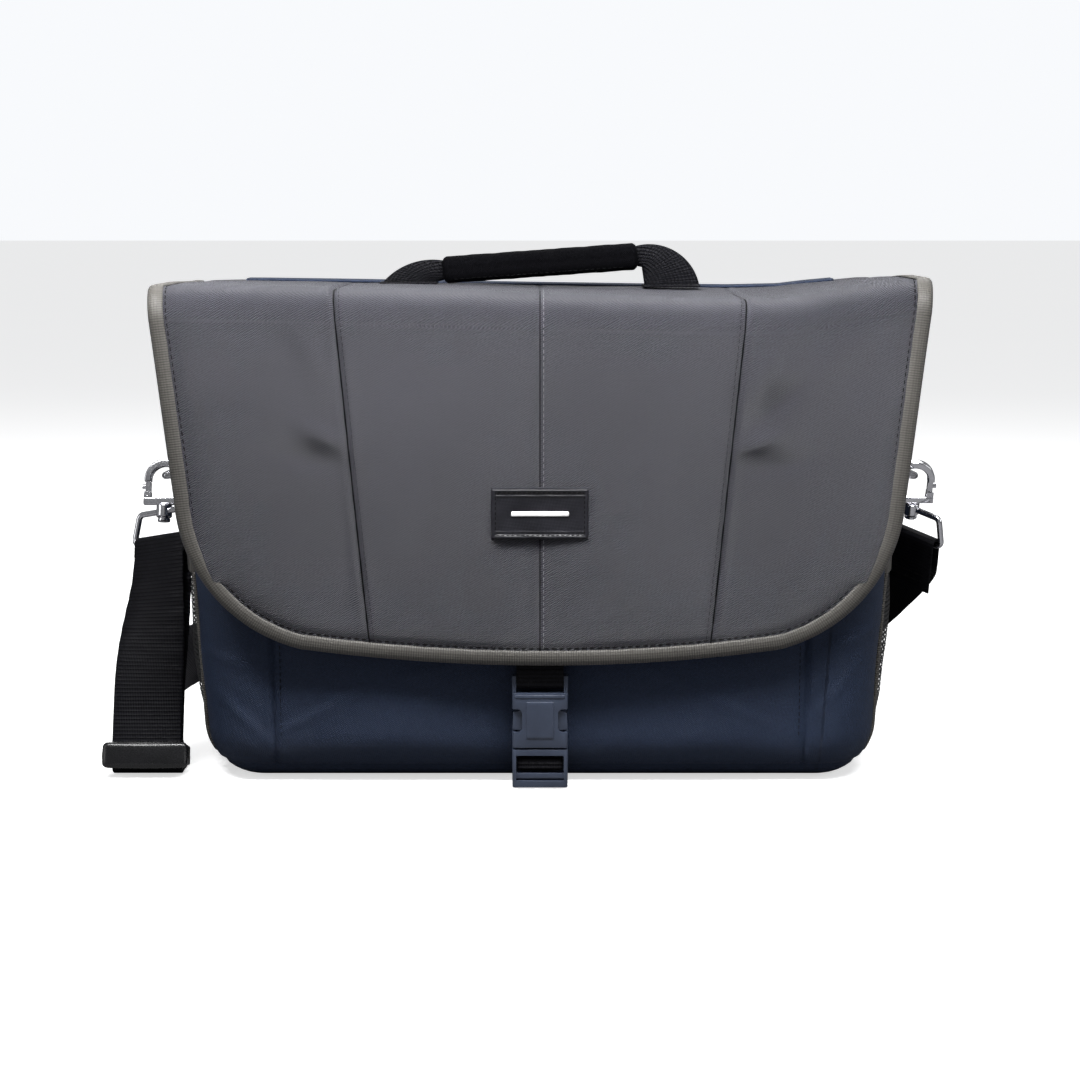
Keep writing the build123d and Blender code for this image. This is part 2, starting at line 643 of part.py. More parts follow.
def strap_slider():
    """A slider with a raised middle bar: the strap runs straight through under the bar."""
    wide, tall = slider_size
    back = -strap / 2 - slider_play - slider_thick
    bar_low = strap / 2 + slider_play + strap + slider_play
    front = bar_low + slider_thick
    rail = (wide - slider_slot) / 2
    frame = region(-wide / 2, wide / 2, -tall / 2, tall / 2, back, front)
    frame = fillet(frame.edges().filter_by(Axis.Z), 3.0)
    hollow = region(-slider_slot / 2, slider_slot / 2, -tall / 2 + slider_bar, tall / 2 - slider_bar, back - 1,
                    front + 1)
    over_ends = [region(-slider_slot / 2, slider_slot / 2, s * tall, s * (tall / 2 - slider_bar - 0.1),
                        back + slider_thick, front + 1) for s in (-1, 1)]
    bar = region(-slider_slot / 2 - rail / 2, slider_slot / 2 + rail / 2, -1.8, 1.8, bar_low, front)
    body = frame - hollow - over_ends[0] - over_ends[1] + bar
    place = Pos(*slider_at) * Rot(90 - slider_lean, 0, 0)
    write("strap_slider", place * body)
    return bar_low, front


def strap_parts(eye_low):
    """The shoulder strap, from the left eye through the slider, behind the bag and up to the right eye."""
    middle = loop_inner + strap / 2
    bar_low, front = strap_slider()
    at_x = slider_at[0]
    rear_y = bag_depth / 2
    floor_z = row_gap + strap / 2

    # left: the running ply, over the eye's bar, straight through the slider, then back along the floor
    over = hang(Rot(0, 0, eye_turn["left"]) * strap_over_bar(eye_low, 8, 8), -1)
    straight_top = slider_travel + slider_size[1] / 2 + 3
    lead_in = 3.0  # straight length at each end of a twist
    high_y, high_z = slider_place(straight_top)
    bend_y, bend_z = slider_place(straight_top + 17)
    bend = (at_x - 1.0, bend_y, bend_z)
    upper = ribbon([from_eye("left", -1, (0, middle, eye_low - 8)),
                    from_eye("left", -1, (0, middle, eye_low - 8 - lead_in)), (bend, (1, -0.3, 0)),
                    ((at_x, *slider_place(straight_top + lead_in)), (1, 0, 0)),
                    ((at_x, high_y, high_z), (1, 0, 0))], 12, strap_web, strap)
    fold_y = slider_place((floor_z - slider_at[2]) / math.cos(math.radians(slider_lean)))[0]
    lead = band([(high_y, high_z), (fold_y, floor_z), (-38.0, floor_z)], [2.5], strap, strap_web, at=at_x)
    rear = ribbon([((at_x, -38.0, floor_z), (1, 0, 0)), ((at_x - 5.5, -12.0, floor_z), (1, 0.15, 0)),
                   ((at_x - 18.5, rear_y - 26.0, floor_z), (1, 0.19, 0)),
                   ((at_x - 31.5, rear_y + 42.0, floor_z + 0.1), (1, 0.16, 0)),
                   ((at_x - 30.5, rear_y + 86.0, 7.0), (0.94, 0.0, -0.33)),
                   ((at_x - 12.5, rear_y + 124.0, 15.8), (0.55, -0.2, -0.8)),
                   ((at_x + 26.5, run_rows[0] - 2, row_gap + strap_web / 2 + 0.2), (0.05, -0.05, -1)),
                   ((run_ends[0] - 12, run_rows[0], row_gap + strap_web / 2), (0, 0, -1)),
                   ((run_ends[0], run_rows[0], row_gap + strap_web / 2), (0, 0, -1))], 30, strap_web, strap)
    write("strap_left_run", [over, upper, lead, rear])

    # left: the sewn ply in front, from the eye's bar down and round the slider's raised bar
    bar_mid = (bar_low + front) / 2
    turn = slider_thick / 2 + slider_play + strap / 2
    outer = bar_mid + turn
    front_ply = band([slider_place(straight_top, outer), slider_place(-1.8 - turn, outer),
                      slider_place(-1.8 - turn, bar_mid)], [turn - 0.05], strap, strap_web - 0.6, at=at_x)
    under_ply = band([slider_place(-1.8 - turn, bar_mid), slider_place(-1.8 - turn, bar_mid - turn),
                      slider_place(9.0, bar_mid - turn)], [turn - 0.05], strap, strap_web - 0.6, at=at_x)
    sewn_top = ribbon([from_eye("left", -1, (0, -middle, eye_low - 8)),
                       from_eye("left", -1, (0, -middle, eye_low - 8 - lead_in)),
                       ((bend[0] - 1.8, *slider_place(straight_top + 17, outer)), (1, -0.3, 0)),
                       ((at_x, *slider_place(straight_top + lead_in, outer)), (1, 0, 0)),
                       ((at_x, *slider_place(straight_top, outer)), (1, 0, 0))], 12, strap_web - 0.6, strap)
    write("strap_adjuster", [front_ply + under_ply, sewn_top])

    # three passes on edge behind the bag
    row_a, row_b, row_c = run_rows
    right_x, left_x = run_turns
    u = (row_a - row_b) / 2
    back = Line((run_ends[0], row_a), (right_x, row_a))
    back = back + ThreePointArc((right_x, row_a), (right_x + u, row_a - u), (right_x, row_b))
    back = back + Line((right_x, row_b), (left_x, row_b))
    back = back + ThreePointArc((left_x, row_b), (left_x - u, row_b - u), (left_x, row_c))
    back = back + Line((left_x, row_c), (run_ends[1], row_c))
    write("strap_rear_run", extrude(Plane.XY.offset(row_gap) * trace(back, line_width=strap), amount=strap_web))

    # right: from the third pass up round the bag's rear corner to the eye
    over = hang(Rot(0, 0, eye_turn["right"]) * strap_over_bar(eye_low, 10, 30), 1)
    rise = ribbon([((run_ends[1], row_c, row_gap + strap_web / 2), (0, 0, -1)),
                   ((run_ends[1] + 12, row_c, row_gap + strap_web / 2), (0, 0, -1)),
                   ((half_rim - 38.0, rear_y + 38.0, 31.0), (0.05, -0.15, -1)),
                   ((half_rim - 6.0, rear_y + 16.0, 60.0), (0.2, -0.3, -0.9)),
                   ((half_rim + 11.0, rear_y - 20.0, 88.0), (0.45, -0.55, -0.65)),
                   from_eye("right", 1, (0, middle, eye_low - 10 - lead_in)),
                   from_eye("right", 1, (0, middle, eye_low - 10))], 28, strap_web, strap)
    write("strap_right_end", [over, rise])

    long, high, deep = pad_size
    pad = Pos(pad_at, row_a, high / 2 + row_gap) * Box(long, deep, high)
    pad = fillet(pad.edges().filter_by(Axis.Y), 12.0)
    sleeve = Pos(pad_at, row_a, row_gap + strap_web / 2) * Box(long + 2, strap + 2 * gap, strap_web + 2 * gap)
    write("shoulder_pad", pad - sleeve)


body_shell()
body_padding()
dividers()
mesh_pockets()
flap_front()
flap_top()
handle()
buckle()
eye_bar = hardware()
strap_parts(eye_bar)
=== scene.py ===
import bpy
import bmesh
import math
import numpy as np
from mathutils import Matrix, Vector


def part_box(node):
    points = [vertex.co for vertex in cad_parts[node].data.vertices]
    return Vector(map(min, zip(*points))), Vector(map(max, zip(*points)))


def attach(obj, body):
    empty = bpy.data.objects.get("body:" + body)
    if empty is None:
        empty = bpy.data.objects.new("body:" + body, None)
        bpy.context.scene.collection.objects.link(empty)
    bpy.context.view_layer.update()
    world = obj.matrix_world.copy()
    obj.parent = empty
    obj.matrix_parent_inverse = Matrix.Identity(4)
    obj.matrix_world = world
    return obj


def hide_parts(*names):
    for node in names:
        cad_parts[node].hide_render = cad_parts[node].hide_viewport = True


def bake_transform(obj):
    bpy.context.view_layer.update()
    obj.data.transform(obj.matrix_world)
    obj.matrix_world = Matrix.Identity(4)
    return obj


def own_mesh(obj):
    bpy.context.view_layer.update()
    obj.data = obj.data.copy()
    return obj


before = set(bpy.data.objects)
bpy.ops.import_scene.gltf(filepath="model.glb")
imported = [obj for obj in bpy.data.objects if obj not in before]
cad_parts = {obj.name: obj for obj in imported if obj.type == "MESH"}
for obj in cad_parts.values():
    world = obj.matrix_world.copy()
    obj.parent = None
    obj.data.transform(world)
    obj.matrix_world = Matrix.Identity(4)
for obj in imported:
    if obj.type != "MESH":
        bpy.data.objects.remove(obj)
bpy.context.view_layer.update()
mm = 0.001


# camera, lights and floor
camera = {"away": 1.112, "height": 0.3035, "pitch": 8.62, "lens": 71.9, "frontFace": -0.091}
lights = [
    # name, size, power, place, aimed at
    ("keyLight", (1.2, 0.45), 6.8, (-0.1, -0.6, 1.5), (0, -0.05, 0.17)),
    ("topFront", (0.8, 0.1), 8.5, (-0.02, -0.26, 0.52), (0, -0.1, 0.22)),
    ("fillLeft", (0.6, 1.0), 4.5, (-1.7, -0.7, 0.7), (-0.1, 0, 0.12)),
    ("fillRight", (0.6, 1.0), 5.5, (1.7, -0.6, 0.8), (0.1, 0, 0.12)),
    ("topRear", (1.6, 0.6), 14, (0.1, 0.9, 1.3), (0, 0.05, 0.2)),
]
stage = {"skyColour": (0.96, 0.975, 1.0, 1), "skySeen": 0.72, "skyLight": 0.26, "floorSize": 30, "floorBack": 8,
         "floorSeen": 0.6, "floorBounce": (0.16, 0.16, 0.165, 1)}


def buildStage():
    data = bpy.data.cameras.new("camera")
    data.lens = camera["lens"]
    shot = bpy.data.objects.new("camera", data)
    shot.location = (0, camera["frontFace"] - camera["away"], camera["height"])
    shot.rotation_euler = (math.radians(90 - camera["pitch"]), 0, 0)
    bpy.context.collection.objects.link(shot)
    bpy.context.scene.camera = shot
    for name, size, power, place, target in lights:
        lamp = bpy.data.lights.new(name, "AREA")
        lamp.shape = "RECTANGLE"
        lamp.size, lamp.size_y = size
        lamp.energy = power
        holder = bpy.data.objects.new(name, lamp)
        holder.location = place
        holder.rotation_euler = (Vector(target) - Vector(place)).to_track_quat("-Z", "Y").to_euler()
        bpy.context.collection.objects.link(holder)
    world = bpy.data.worlds.new("softWorld")
    world.use_nodes = True
    sky = world.node_tree
    sky.nodes["Background"].inputs["Color"].default_value = stage["skyColour"]
    seen = sky.nodes.new("ShaderNodeLightPath")
    glow = calc(sky, "MULTIPLY", seen.outputs["Is Camera Ray"], stage["skySeen"])
    sky.links.new(calc(sky, "ADD", glow, stage["skyLight"]), sky.nodes["Background"].inputs["Strength"])
    bpy.context.scene.world = world
    bpy.context.scene.view_settings.view_transform = "Standard"
    bpy.ops.mesh.primitive_plane_add(size=stage["floorSize"], location=(0, stage["floorBack"], 0))
    floor = bpy.context.object
    floor.name = "studioFloor"
    floor.data.materials.append(paintFloor())


# shader groups
def newGroup(name, numbers, outputs):
    group = bpy.data.node_groups.new(name, "ShaderNodeTree")
    for label, value in numbers.items():
        socket = group.interface.new_socket(label, in_out="INPUT", socket_type="NodeSocketFloat")
        socket.default_value = value
    for label in outputs:
        group.interface.new_socket(label, in_out="OUTPUT", socket_type="NodeSocketFloat")
    return group, group.nodes.new("NodeGroupInput"), group.nodes.new("NodeGroupOutput")


def calc(tree, operation, first, second=None, third=None):
    node = tree.nodes.new("ShaderNodeMath")
    node.operation = operation
    for socket, value in zip(node.inputs, (first, second, third)):
        if value is None:
            continue
        if isinstance(value, (int, float)):
            socket.default_value = value
        else:
            tree.links.new(value, socket)
    return node.outputs[0]


def clothUv(tree):
    uv = tree.nodes.new("ShaderNodeUVMap")
    uv.uv_map = "cloth"
    parts = tree.nodes.new("ShaderNodeSeparateXYZ")
    tree.links.new(uv.outputs[0], parts.inputs[0])
    return parts.outputs[0], parts.outputs[1], uv.outputs[0]


def weaveGroup():
    # threads in metres: warp and weft waves, with a diagonal twill line over them
    tree, given, out = newGroup("clothWeave", {"Pitch": 0.0011, "Twill": 1.0}, ["Height", "Tone"])
    u, v, both = clothUv(tree)
    turn = calc(tree, "DIVIDE", 2 * math.pi, given.outputs["Pitch"])
    warp = calc(tree, "SINE", calc(tree, "MULTIPLY", u, turn))
    weft = calc(tree, "SINE", calc(tree, "MULTIPLY", v, turn))
    slope = calc(tree, "ADD", calc(tree, "MULTIPLY", u, 0.5), calc(tree, "MULTIPLY", v, 0.9))
    slant = calc(tree, "MULTIPLY", slope, turn)
    diagonal = calc(tree, "MULTIPLY", calc(tree, "SINE", slant), given.outputs["Twill"])
    plain = calc(tree, "MULTIPLY", warp, weft)
    height = calc(tree, "ADD", calc(tree, "MULTIPLY", plain, 0.5), diagonal)
    noise = tree.nodes.new("ShaderNodeTexNoise")
    noise.inputs["Scale"].default_value = 900
    noise.inputs["Detail"].default_value = 3
    tree.links.new(both, noise.inputs["Vector"])
    # the colour follows the thread height: raised crests and twill lines are painted lighter and the hollows between
    # threads darker (painted highlight and shade), over a random tone from the noise
    tone = calc(tree, "ADD", calc(tree, "MULTIPLY", height, 0.3), noise.outputs[0])
    tree.links.new(height, out.inputs["Height"])
    tree.links.new(tone, out.inputs["Tone"])
    return tree


def ribGroup():
    # cords that run across the tape, each a rounded ridge
    tree, given, out = newGroup("tapeRibs", {"Pitch": 0.002}, ["Height", "Tone"])
    u, v, both = clothUv(tree)
    turn = calc(tree, "DIVIDE", math.pi, given.outputs["Pitch"])
    ridge = calc(tree, "ABSOLUTE", calc(tree, "SINE", calc(tree, "MULTIPLY", u, turn)))
    fine = calc(tree, "SINE", calc(tree, "MULTIPLY", v, 2 * math.pi / 0.0009))  # threads 0.9 mm apart
    noise = tree.nodes.new("ShaderNodeTexNoise")
    noise.inputs["Scale"].default_value = 700
    tree.links.new(both, noise.inputs["Vector"])
    height = calc(tree, "ADD", ridge, calc(tree, "MULTIPLY", fine, 0.15))
    speckle = calc(tree, "MULTIPLY", noise.outputs[0], 0.35)
    # the ribs' crests are painted lighter and the grooves between them darker (painted highlight and shade), with a
    # random speckle on top
    tone = calc(tree, "ADD", calc(tree, "MULTIPLY", ridge, 0.65), speckle)
    tree.links.new(height, out.inputs["Height"])
    tree.links.new(tone, out.inputs["Tone"])
    return tree


def netGroup():
    # an open net: staggered round holes in a knitted mesh
    tree, given, out = newGroup("netHoles", {"Pitch": 0.0026, "Hole": 0.3}, ["Mask", "Height"])
    u, v = clothUv(tree)[:2]
    row = calc(tree, "DIVIDE", v, given.outputs["Pitch"])
    shift = calc(tree, "MULTIPLY", calc(tree, "MODULO", calc(tree, "FLOOR", row), 2.0), 0.5)
    column = calc(tree, "ADD", calc(tree, "DIVIDE", u, given.outputs["Pitch"]), shift)
    x = calc(tree, "SUBTRACT", calc(tree, "FRACT", column), 0.5)
    y = calc(tree, "SUBTRACT", calc(tree, "FRACT", row), 0.5)
    away = calc(tree, "SQRT", calc(tree, "ADD", calc(tree, "MULTIPLY", x, x), calc(tree, "MULTIPLY", y, y)))
    mask = calc(tree, "GREATER_THAN", away, given.outputs["Hole"])
    tree.links.new(mask, out.inputs["Mask"])
    tree.links.new(away, out.inputs["Height"])
    return tree


def wearGroup():
    # broad fading and dust on cloth, and smears on hard parts
    tree, given, out = newGroup("surfaceAge", {"Scale": 14.0, "Contrast": 1.0}, ["Tone", "Fine"])
    place = tree.nodes.new("ShaderNodeTexCoord")
    for label, scale, detail in (("Tone", 1.0, 4), ("Fine", 14.0, 6)):
        noise = tree.nodes.new("ShaderNodeTexNoise")
        noise.inputs["Detail"].default_value = detail
        tree.links.new(place.outputs["Object"], noise.inputs["Vector"])
        tree.links.new(calc(tree, "MULTIPLY", given.outputs["Scale"], scale), noise.inputs["Scale"])
        centred = calc(tree, "SUBTRACT", noise.outputs[0], 0.5)
        spread = calc(tree, "MULTIPLY", centred, given.outputs["Contrast"])
        tree.links.new(calc(tree, "ADD", spread, 0.5), out.inputs[label])
    return tree


groups = {"weave": weaveGroup(), "rib": ribGroup(), "net": netGroup(), "age": wearGroup()}


def placeGroup(tree, key, **values):
    node = tree.nodes.new("ShaderNodeGroup")
    node.node_tree = groups[key]
    for label, value in values.items():
        node.inputs[label].default_value = value
    return node


def startMaterial(name, roughness, metallic=0.0, **extra):
    material = bpy.data.materials.new(name)
    material.use_nodes = True
    shader = material.node_tree.nodes["Principled BSDF"]
    shader.inputs["Roughness"].default_value = roughness
    shader.inputs["Metallic"].default_value = metallic
    for label, value in extra.items():
        shader.inputs[label.replace("_", " ")].default_value = value
    return material, material.node_tree, shader


def ramp(tree, value, dark, light, low=0.2, high=0.8):
    node = tree.nodes.new("ShaderNodeValToRGB")
    node.color_ramp.elements[0].position = low
    node.color_ramp.elements[0].color = (*dark, 1)
    node.color_ramp.elements[1].position = high
    node.color_ramp.elements[1].color = (*light, 1)
    tree.links.new(value, node.inputs[0])
    return node.outputs[0]


def addBump(tree, shader, height, distance, strength=1.0):
    bump = tree.nodes.new("ShaderNodeBump")
    bump.inputs["Distance"].default_value = distance
    bump.inputs["Strength"].default_value = strength
    tree.links.new(height, bump.inputs["Height"])
    tree.links.new(bump.outputs[0], shader.inputs["Normal"])


def paintCloth(name, dark, light, roughness, pitch, bump, twill=None, sheen=0.0, gloss=0.3):
    # woven cloth where a twill is given, and ribbed tape or cord where it isn't
    material, tree, shader = startMaterial(name, roughness, Sheen_Weight=sheen, Sheen_Roughness=0.45,
                                           Sheen_Tint=(0.5, 0.55, 0.65, 1), Specular_IOR_Level=gloss)
    if twill is None:
        cloth = placeGroup(tree, "rib", Pitch=pitch)
    else:
        cloth = placeGroup(tree, "weave", Pitch=pitch, Twill=twill)
    age = placeGroup(tree, "age", Scale=9.0, Contrast=0.9)
    faded = calc(tree, "MULTIPLY", age.outputs["Tone"], 0.4)
    # the cloth's colour: the painted highlight and shade of its threads or ribs, mixed with broad random fading
    tone = calc(tree, "ADD", calc(tree, "MULTIPLY", cloth.outputs["Tone"], 0.6), faded)
    tree.links.new(ramp(tree, tone, dark, light), shader.inputs["Base Color"])
    rough = calc(tree, "ADD", calc(tree, "MULTIPLY", age.outputs["Fine"], 0.16), roughness - 0.08)
    tree.links.new(rough, shader.inputs["Roughness"])
    addBump(tree, shader, cloth.outputs["Height"], bump)
    return material


def paintNet():
    material, tree, shader = startMaterial("sideNet", 0.75)
    net = placeGroup(tree, "net", Pitch=0.0027, Hole=0.27)
    age = placeGroup(tree, "age", Scale=20.0, Contrast=1.0)
    black = ramp(tree, age.outputs["Tone"], (0.0012, 0.0012, 0.0015), (0.004, 0.004, 0.005))
    tree.links.new(black, shader.inputs["Base Color"])
    tree.links.new(net.outputs["Mask"], shader.inputs["Alpha"])
    addBump(tree, shader, net.outputs["Height"], 0.0006)
    return material


def paintHard(name, dark, light, roughness, metallic, scale, bump, **extra):
    material, tree, shader = startMaterial(name, roughness, metallic, **extra)
    age = placeGroup(tree, "age", Scale=scale, Contrast=1.0)
    tree.links.new(ramp(tree, age.outputs["Tone"], dark, light, 0.3, 0.7), shader.inputs["Base Color"])
    rough = calc(tree, "ADD", calc(tree, "MULTIPLY", age.outputs["Fine"], 0.18), roughness - 0.09)
    tree.links.new(rough, shader.inputs["Roughness"])
    addBump(tree, shader, age.outputs["Fine"], bump)
    return material


def paintFloor():
    material, tree, shader = startMaterial("paleFloor", 0.9, Emission_Color=(1, 1, 1, 1))
    seen = tree.nodes.new("ShaderNodeLightPath")
    glow = calc(tree, "MULTIPLY", seen.outputs["Is Camera Ray"], stage["floorSeen"])
    tree.links.new(glow, shader.inputs["Emission Strength"])
    age = placeGroup(tree, "age", Scale=2.0, Contrast=0.5)
    pale = ramp(tree, age.outputs["Tone"], (0.84, 0.845, 0.85), (0.88, 0.88, 0.88))
    mix = tree.nodes.new("ShaderNodeMix")
    mix.data_type = "RGBA"
    mix.inputs[6].default_value = stage["floorBounce"]  # what the floor throws back on to the bag
    tree.links.new(seen.outputs["Is Camera Ray"], mix.inputs[0])
    tree.links.new(pale, mix.inputs[7])
    tree.links.new(mix.outputs[2], shader.inputs["Base Color"])
    return material


paint = {
    # name, dark, light, roughness, pitch of the threads, bump
    "flapTwill": paintCloth("charcoalTwill", (0.009, 0.009, 0.0125), (0.062, 0.061, 0.076), 0.44, 0.0011, 0.00045,
                            twill=0.85, sheen=0.04),
    "bodyNylon": paintCloth("navyNylon", (0.003, 0.006, 0.016), (0.016, 0.028, 0.06), 0.6, 0.0010, 0.00025,
                            twill=0.15, gloss=0.2),
    "edgeTape": paintCloth("ribbedEdgeTape", (0.009, 0.0085, 0.008), (0.085, 0.08, 0.072), 0.5, 0.0013, 0.0002,
                           sheen=0.02),
    "webbing": paintCloth("blackWebbing", (0.0002, 0.0002, 0.0003), (0.0045, 0.0045, 0.0065), 0.55, 0.0021, 0.0003,
                          gloss=0.08),
    "gripNylon": paintCloth("blackNylon", (0.0002, 0.0002, 0.0003), (0.002, 0.002, 0.003), 0.8, 0.0011, 0.0002,
                            twill=0.3, gloss=0.03),
    "lining": paintCloth("greyLining", (0.035, 0.037, 0.042), (0.085, 0.088, 0.095), 0.85, 0.0014, 0.0001,
                         twill=0.1, sheen=0.2),
    "thread": paintCloth("blackThread", (0.0004, 0.0004, 0.0005), (0.0015, 0.0015, 0.002), 0.7, 0.0006, 0.00003,
                         gloss=0.1),
    "paleThread": paintCloth("greyThread", (0.1, 0.1, 0.105), (0.26, 0.26, 0.28), 0.6, 0.0006, 0.00003),
    "net": paintNet(),
    # name, dark, light, roughness, metallic, scale of the smears, bump
    "plastic": paintHard("slatePlastic", (0.024, 0.031, 0.05), (0.036, 0.046, 0.072), 0.34, 0, 60, 0.00003,
                         Specular_IOR_Level=0.4),
    "blackPlastic": paintHard("blackPlastic", (0.0012, 0.0012, 0.0016), (0.003, 0.003, 0.004), 0.28, 0, 60, 0.00003),
    "rubber": paintHard("patchRubber", (0.006, 0.006, 0.008), (0.014, 0.014, 0.018), 0.34, 0, 80, 0.00004,
                        Specular_IOR_Level=0.35),
    "mark": paintHard("paleMark", (0.6, 0.6, 0.6), (0.75, 0.75, 0.74), 0.45, 0, 80, 0.00003),
    "steel": paintHard("brightSteel", (0.5, 0.5, 0.52), (0.66, 0.66, 0.69), 0.16, 1, 90, 0.00001),
}
print("materials ready")


# mesh helpers
def addPiece(name, points, faces, material, body, uvs=None, flat=False):
    mesh = bpy.data.meshes.new(name)
    mesh.from_pydata([tuple(p) for p in np.asarray(points) * mm], [], [tuple(f) for f in faces])
    layer = mesh.uv_layers.new(name="cloth")
    if uvs is not None:
        spots = np.asarray(uvs) * mm
        loops = np.empty(len(mesh.loops), dtype=np.int64)
        mesh.loops.foreach_get("vertex_index", loops)
        layer.data.foreach_set("uv", spots[loops].ravel())
    mesh.polygons.foreach_set("use_smooth", [not flat] * len(mesh.polygons))
    mesh.materials.append(paint[material])
    piece = bpy.data.objects.new(name, mesh)
    bpy.context.collection.objects.link(piece)
    if body:
        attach(piece, body)
    return piece


def gridFaces(rows, columns, wrap=False, start=0, flip=False):
    faces = []
    span = columns if wrap else columns - 1
    for r in range(rows - 1):
        for c in range(span):
            d = (c + 1) % columns
            low, high = start + r * columns, start + (r + 1) * columns
            quad = (low + c, low + d, high + d, high + c)
            faces.append(quad[::-1] if flip else quad)
    return faces


def gridNormals(grid, wrap=False):
    if wrap:
        across = np.roll(grid, -1, 1) - np.roll(grid, 1, 1)
    else:
        across = np.gradient(grid, axis=1)
    down = np.gradient(grid, axis=0)
    normal = np.cross(across, down)
    return normal / np.maximum(np.linalg.norm(normal, axis=2, keepdims=True), 1e-9)


def gridUv(grid):
    # real lengths along both directions, so that a weave keeps its size
    across = np.cumsum(np.linalg.norm(np.diff(grid, axis=1), axis=2), axis=1)
    u = np.concatenate([np.zeros((grid.shape[0], 1)), across], 1)
    u = u - u[:, u.shape[1] // 2][:, None]
    v = np.concatenate([[0], np.cumsum(np.linalg.norm(np.diff(grid, axis=0), axis=2).mean(1))])
    return np.stack([u, np.repeat(v[:, None], grid.shape[1], 1)], 2)


def sheetSolid(name, outer, inner, material, body, wrap=False, flatUv=None):
    # two grids of points joined round their open edges into one closed form
    rows, columns = outer.shape[:2]
    count = rows * columns
    faces = gridFaces(rows, columns, wrap) + gridFaces(rows, columns, wrap, count, True)
    edges = [[(0, c) for c in range(columns)], [(rows - 1, c) for c in range(columns)][::-1]]
    if wrap:
        edges = [edge + edge[:1] for edge in edges]
    else:
        edges += [[(r, 0) for r in range(rows)][::-1], [(r, columns - 1) for r in range(rows)]]
    for edge in edges:
        for (r0, c0), (r1, c1) in zip(edge, edge[1:]):
            a, b = r0 * columns + c0, r1 * columns + c1
            faces.append((b, a, a + count, b + count))
    points = np.concatenate([outer.reshape(-1, 3), inner.reshape(-1, 3)])
    uvs = np.concatenate([(gridUv(outer) if flatUv is None else flatUv).reshape(-1, 2)] * 2)
    return addPiece(name, points, faces, material, body, uvs)


def smoothStep(x, low, high):
    t = np.clip((x - low) / (high - low), 0, 1)
    return t * t * (3 - 2 * t)


def bell(x, middle, width):
    return np.exp(-(((x - middle) / width) ** 2))


def arcThrough(a, b, c, count):
    # points of the circle through three points of a plane
    (ax, ay), (bx, by), (cx, cy) = a, b, c
    d = 2 * (ax * (by - cy) + bx * (cy - ay) + cx * (ay - by))
    ux = ((ax**2 + ay**2) * (by - cy) + (bx**2 + by**2) * (cy - ay) + (cx**2 + cy**2) * (ay - by)) / d
    uy = ((ax**2 + ay**2) * (cx - bx) + (bx**2 + by**2) * (ax - cx) + (cx**2 + cy**2) * (bx - ax)) / d
    angles = [math.atan2(p[1] - uy, p[0] - ux) for p in (a, b, c)]
    for i in (1, 2):
        while angles[i] - angles[i - 1] > math.pi:
            angles[i] -= 2 * math.pi
        while angles[i] - angles[i - 1] < -math.pi:
            angles[i] += 2 * math.pi
    t = np.linspace(angles[0], angles[2], count)
    r = math.hypot(ax - ux, ay - uy)
    return np.stack([ux + r * np.cos(t), uy + r * np.sin(t)], 1)


def lengthsAlong(line):
    # how far along the line each of its points is
    return np.concatenate([[0], np.cumsum(np.linalg.norm(np.diff(line, axis=0), axis=1))])


def pickAt(spots, run, values):
    # the values at given lengths along a line
    return np.stack([np.interp(spots, run, values[:, k]) for k in range(values.shape[1])], 1)


def evenly(line, count):
    # the same line with evenly spaced points
    line = np.asarray(line, float)
    run = lengthsAlong(line)
    return pickAt(np.linspace(0, run[-1], count), run, line)


def runLength(line):
    return float(np.linalg.norm(np.diff(np.asarray(line), axis=0), axis=1).sum())


def unit(v):
    v = np.asarray(v, float)
    return v / np.maximum(np.linalg.norm(v, axis=-1, keepdims=True), 1e-9)


def throughStations(stations, gap=2.0):
    # a smooth line through (middle, across) stations, sampled every gap
    middles = np.array([s[0] for s in stations], float)
    widths = unit(np.array([s[1] for s in stations], float))
    steps = np.sqrt(np.linalg.norm(np.diff(middles, axis=0), axis=1))
    knots = np.concatenate([[0], np.cumsum(np.maximum(steps, 1e-3))])
    slopes = np.gradient(middles, knots, axis=0, edge_order=1)
    outM, outW = [], []
    for i in range(len(middles) - 1):
        h = knots[i + 1] - knots[i]
        count = max(2, int(np.linalg.norm(middles[i + 1] - middles[i]) / gap) + 1)
        t = np.linspace(0, 1, count, endpoint=False)[:, None]
        outM.append((2 * t**3 - 3 * t**2 + 1) * middles[i] + (t**3 - 2 * t**2 + t) * h * slopes[i]
                    + (-2 * t**3 + 3 * t**2) * middles[i + 1] + (t**3 - t**2) * h * slopes[i + 1])
        ease = t * t * (3 - 2 * t)
        outW.append(unit(widths[i] * (1 - ease) + widths[i + 1] * ease))
    outM.append(middles[-1:])
    outW.append(widths[-1:])
    return np.concatenate(outM), np.concatenate(outW)


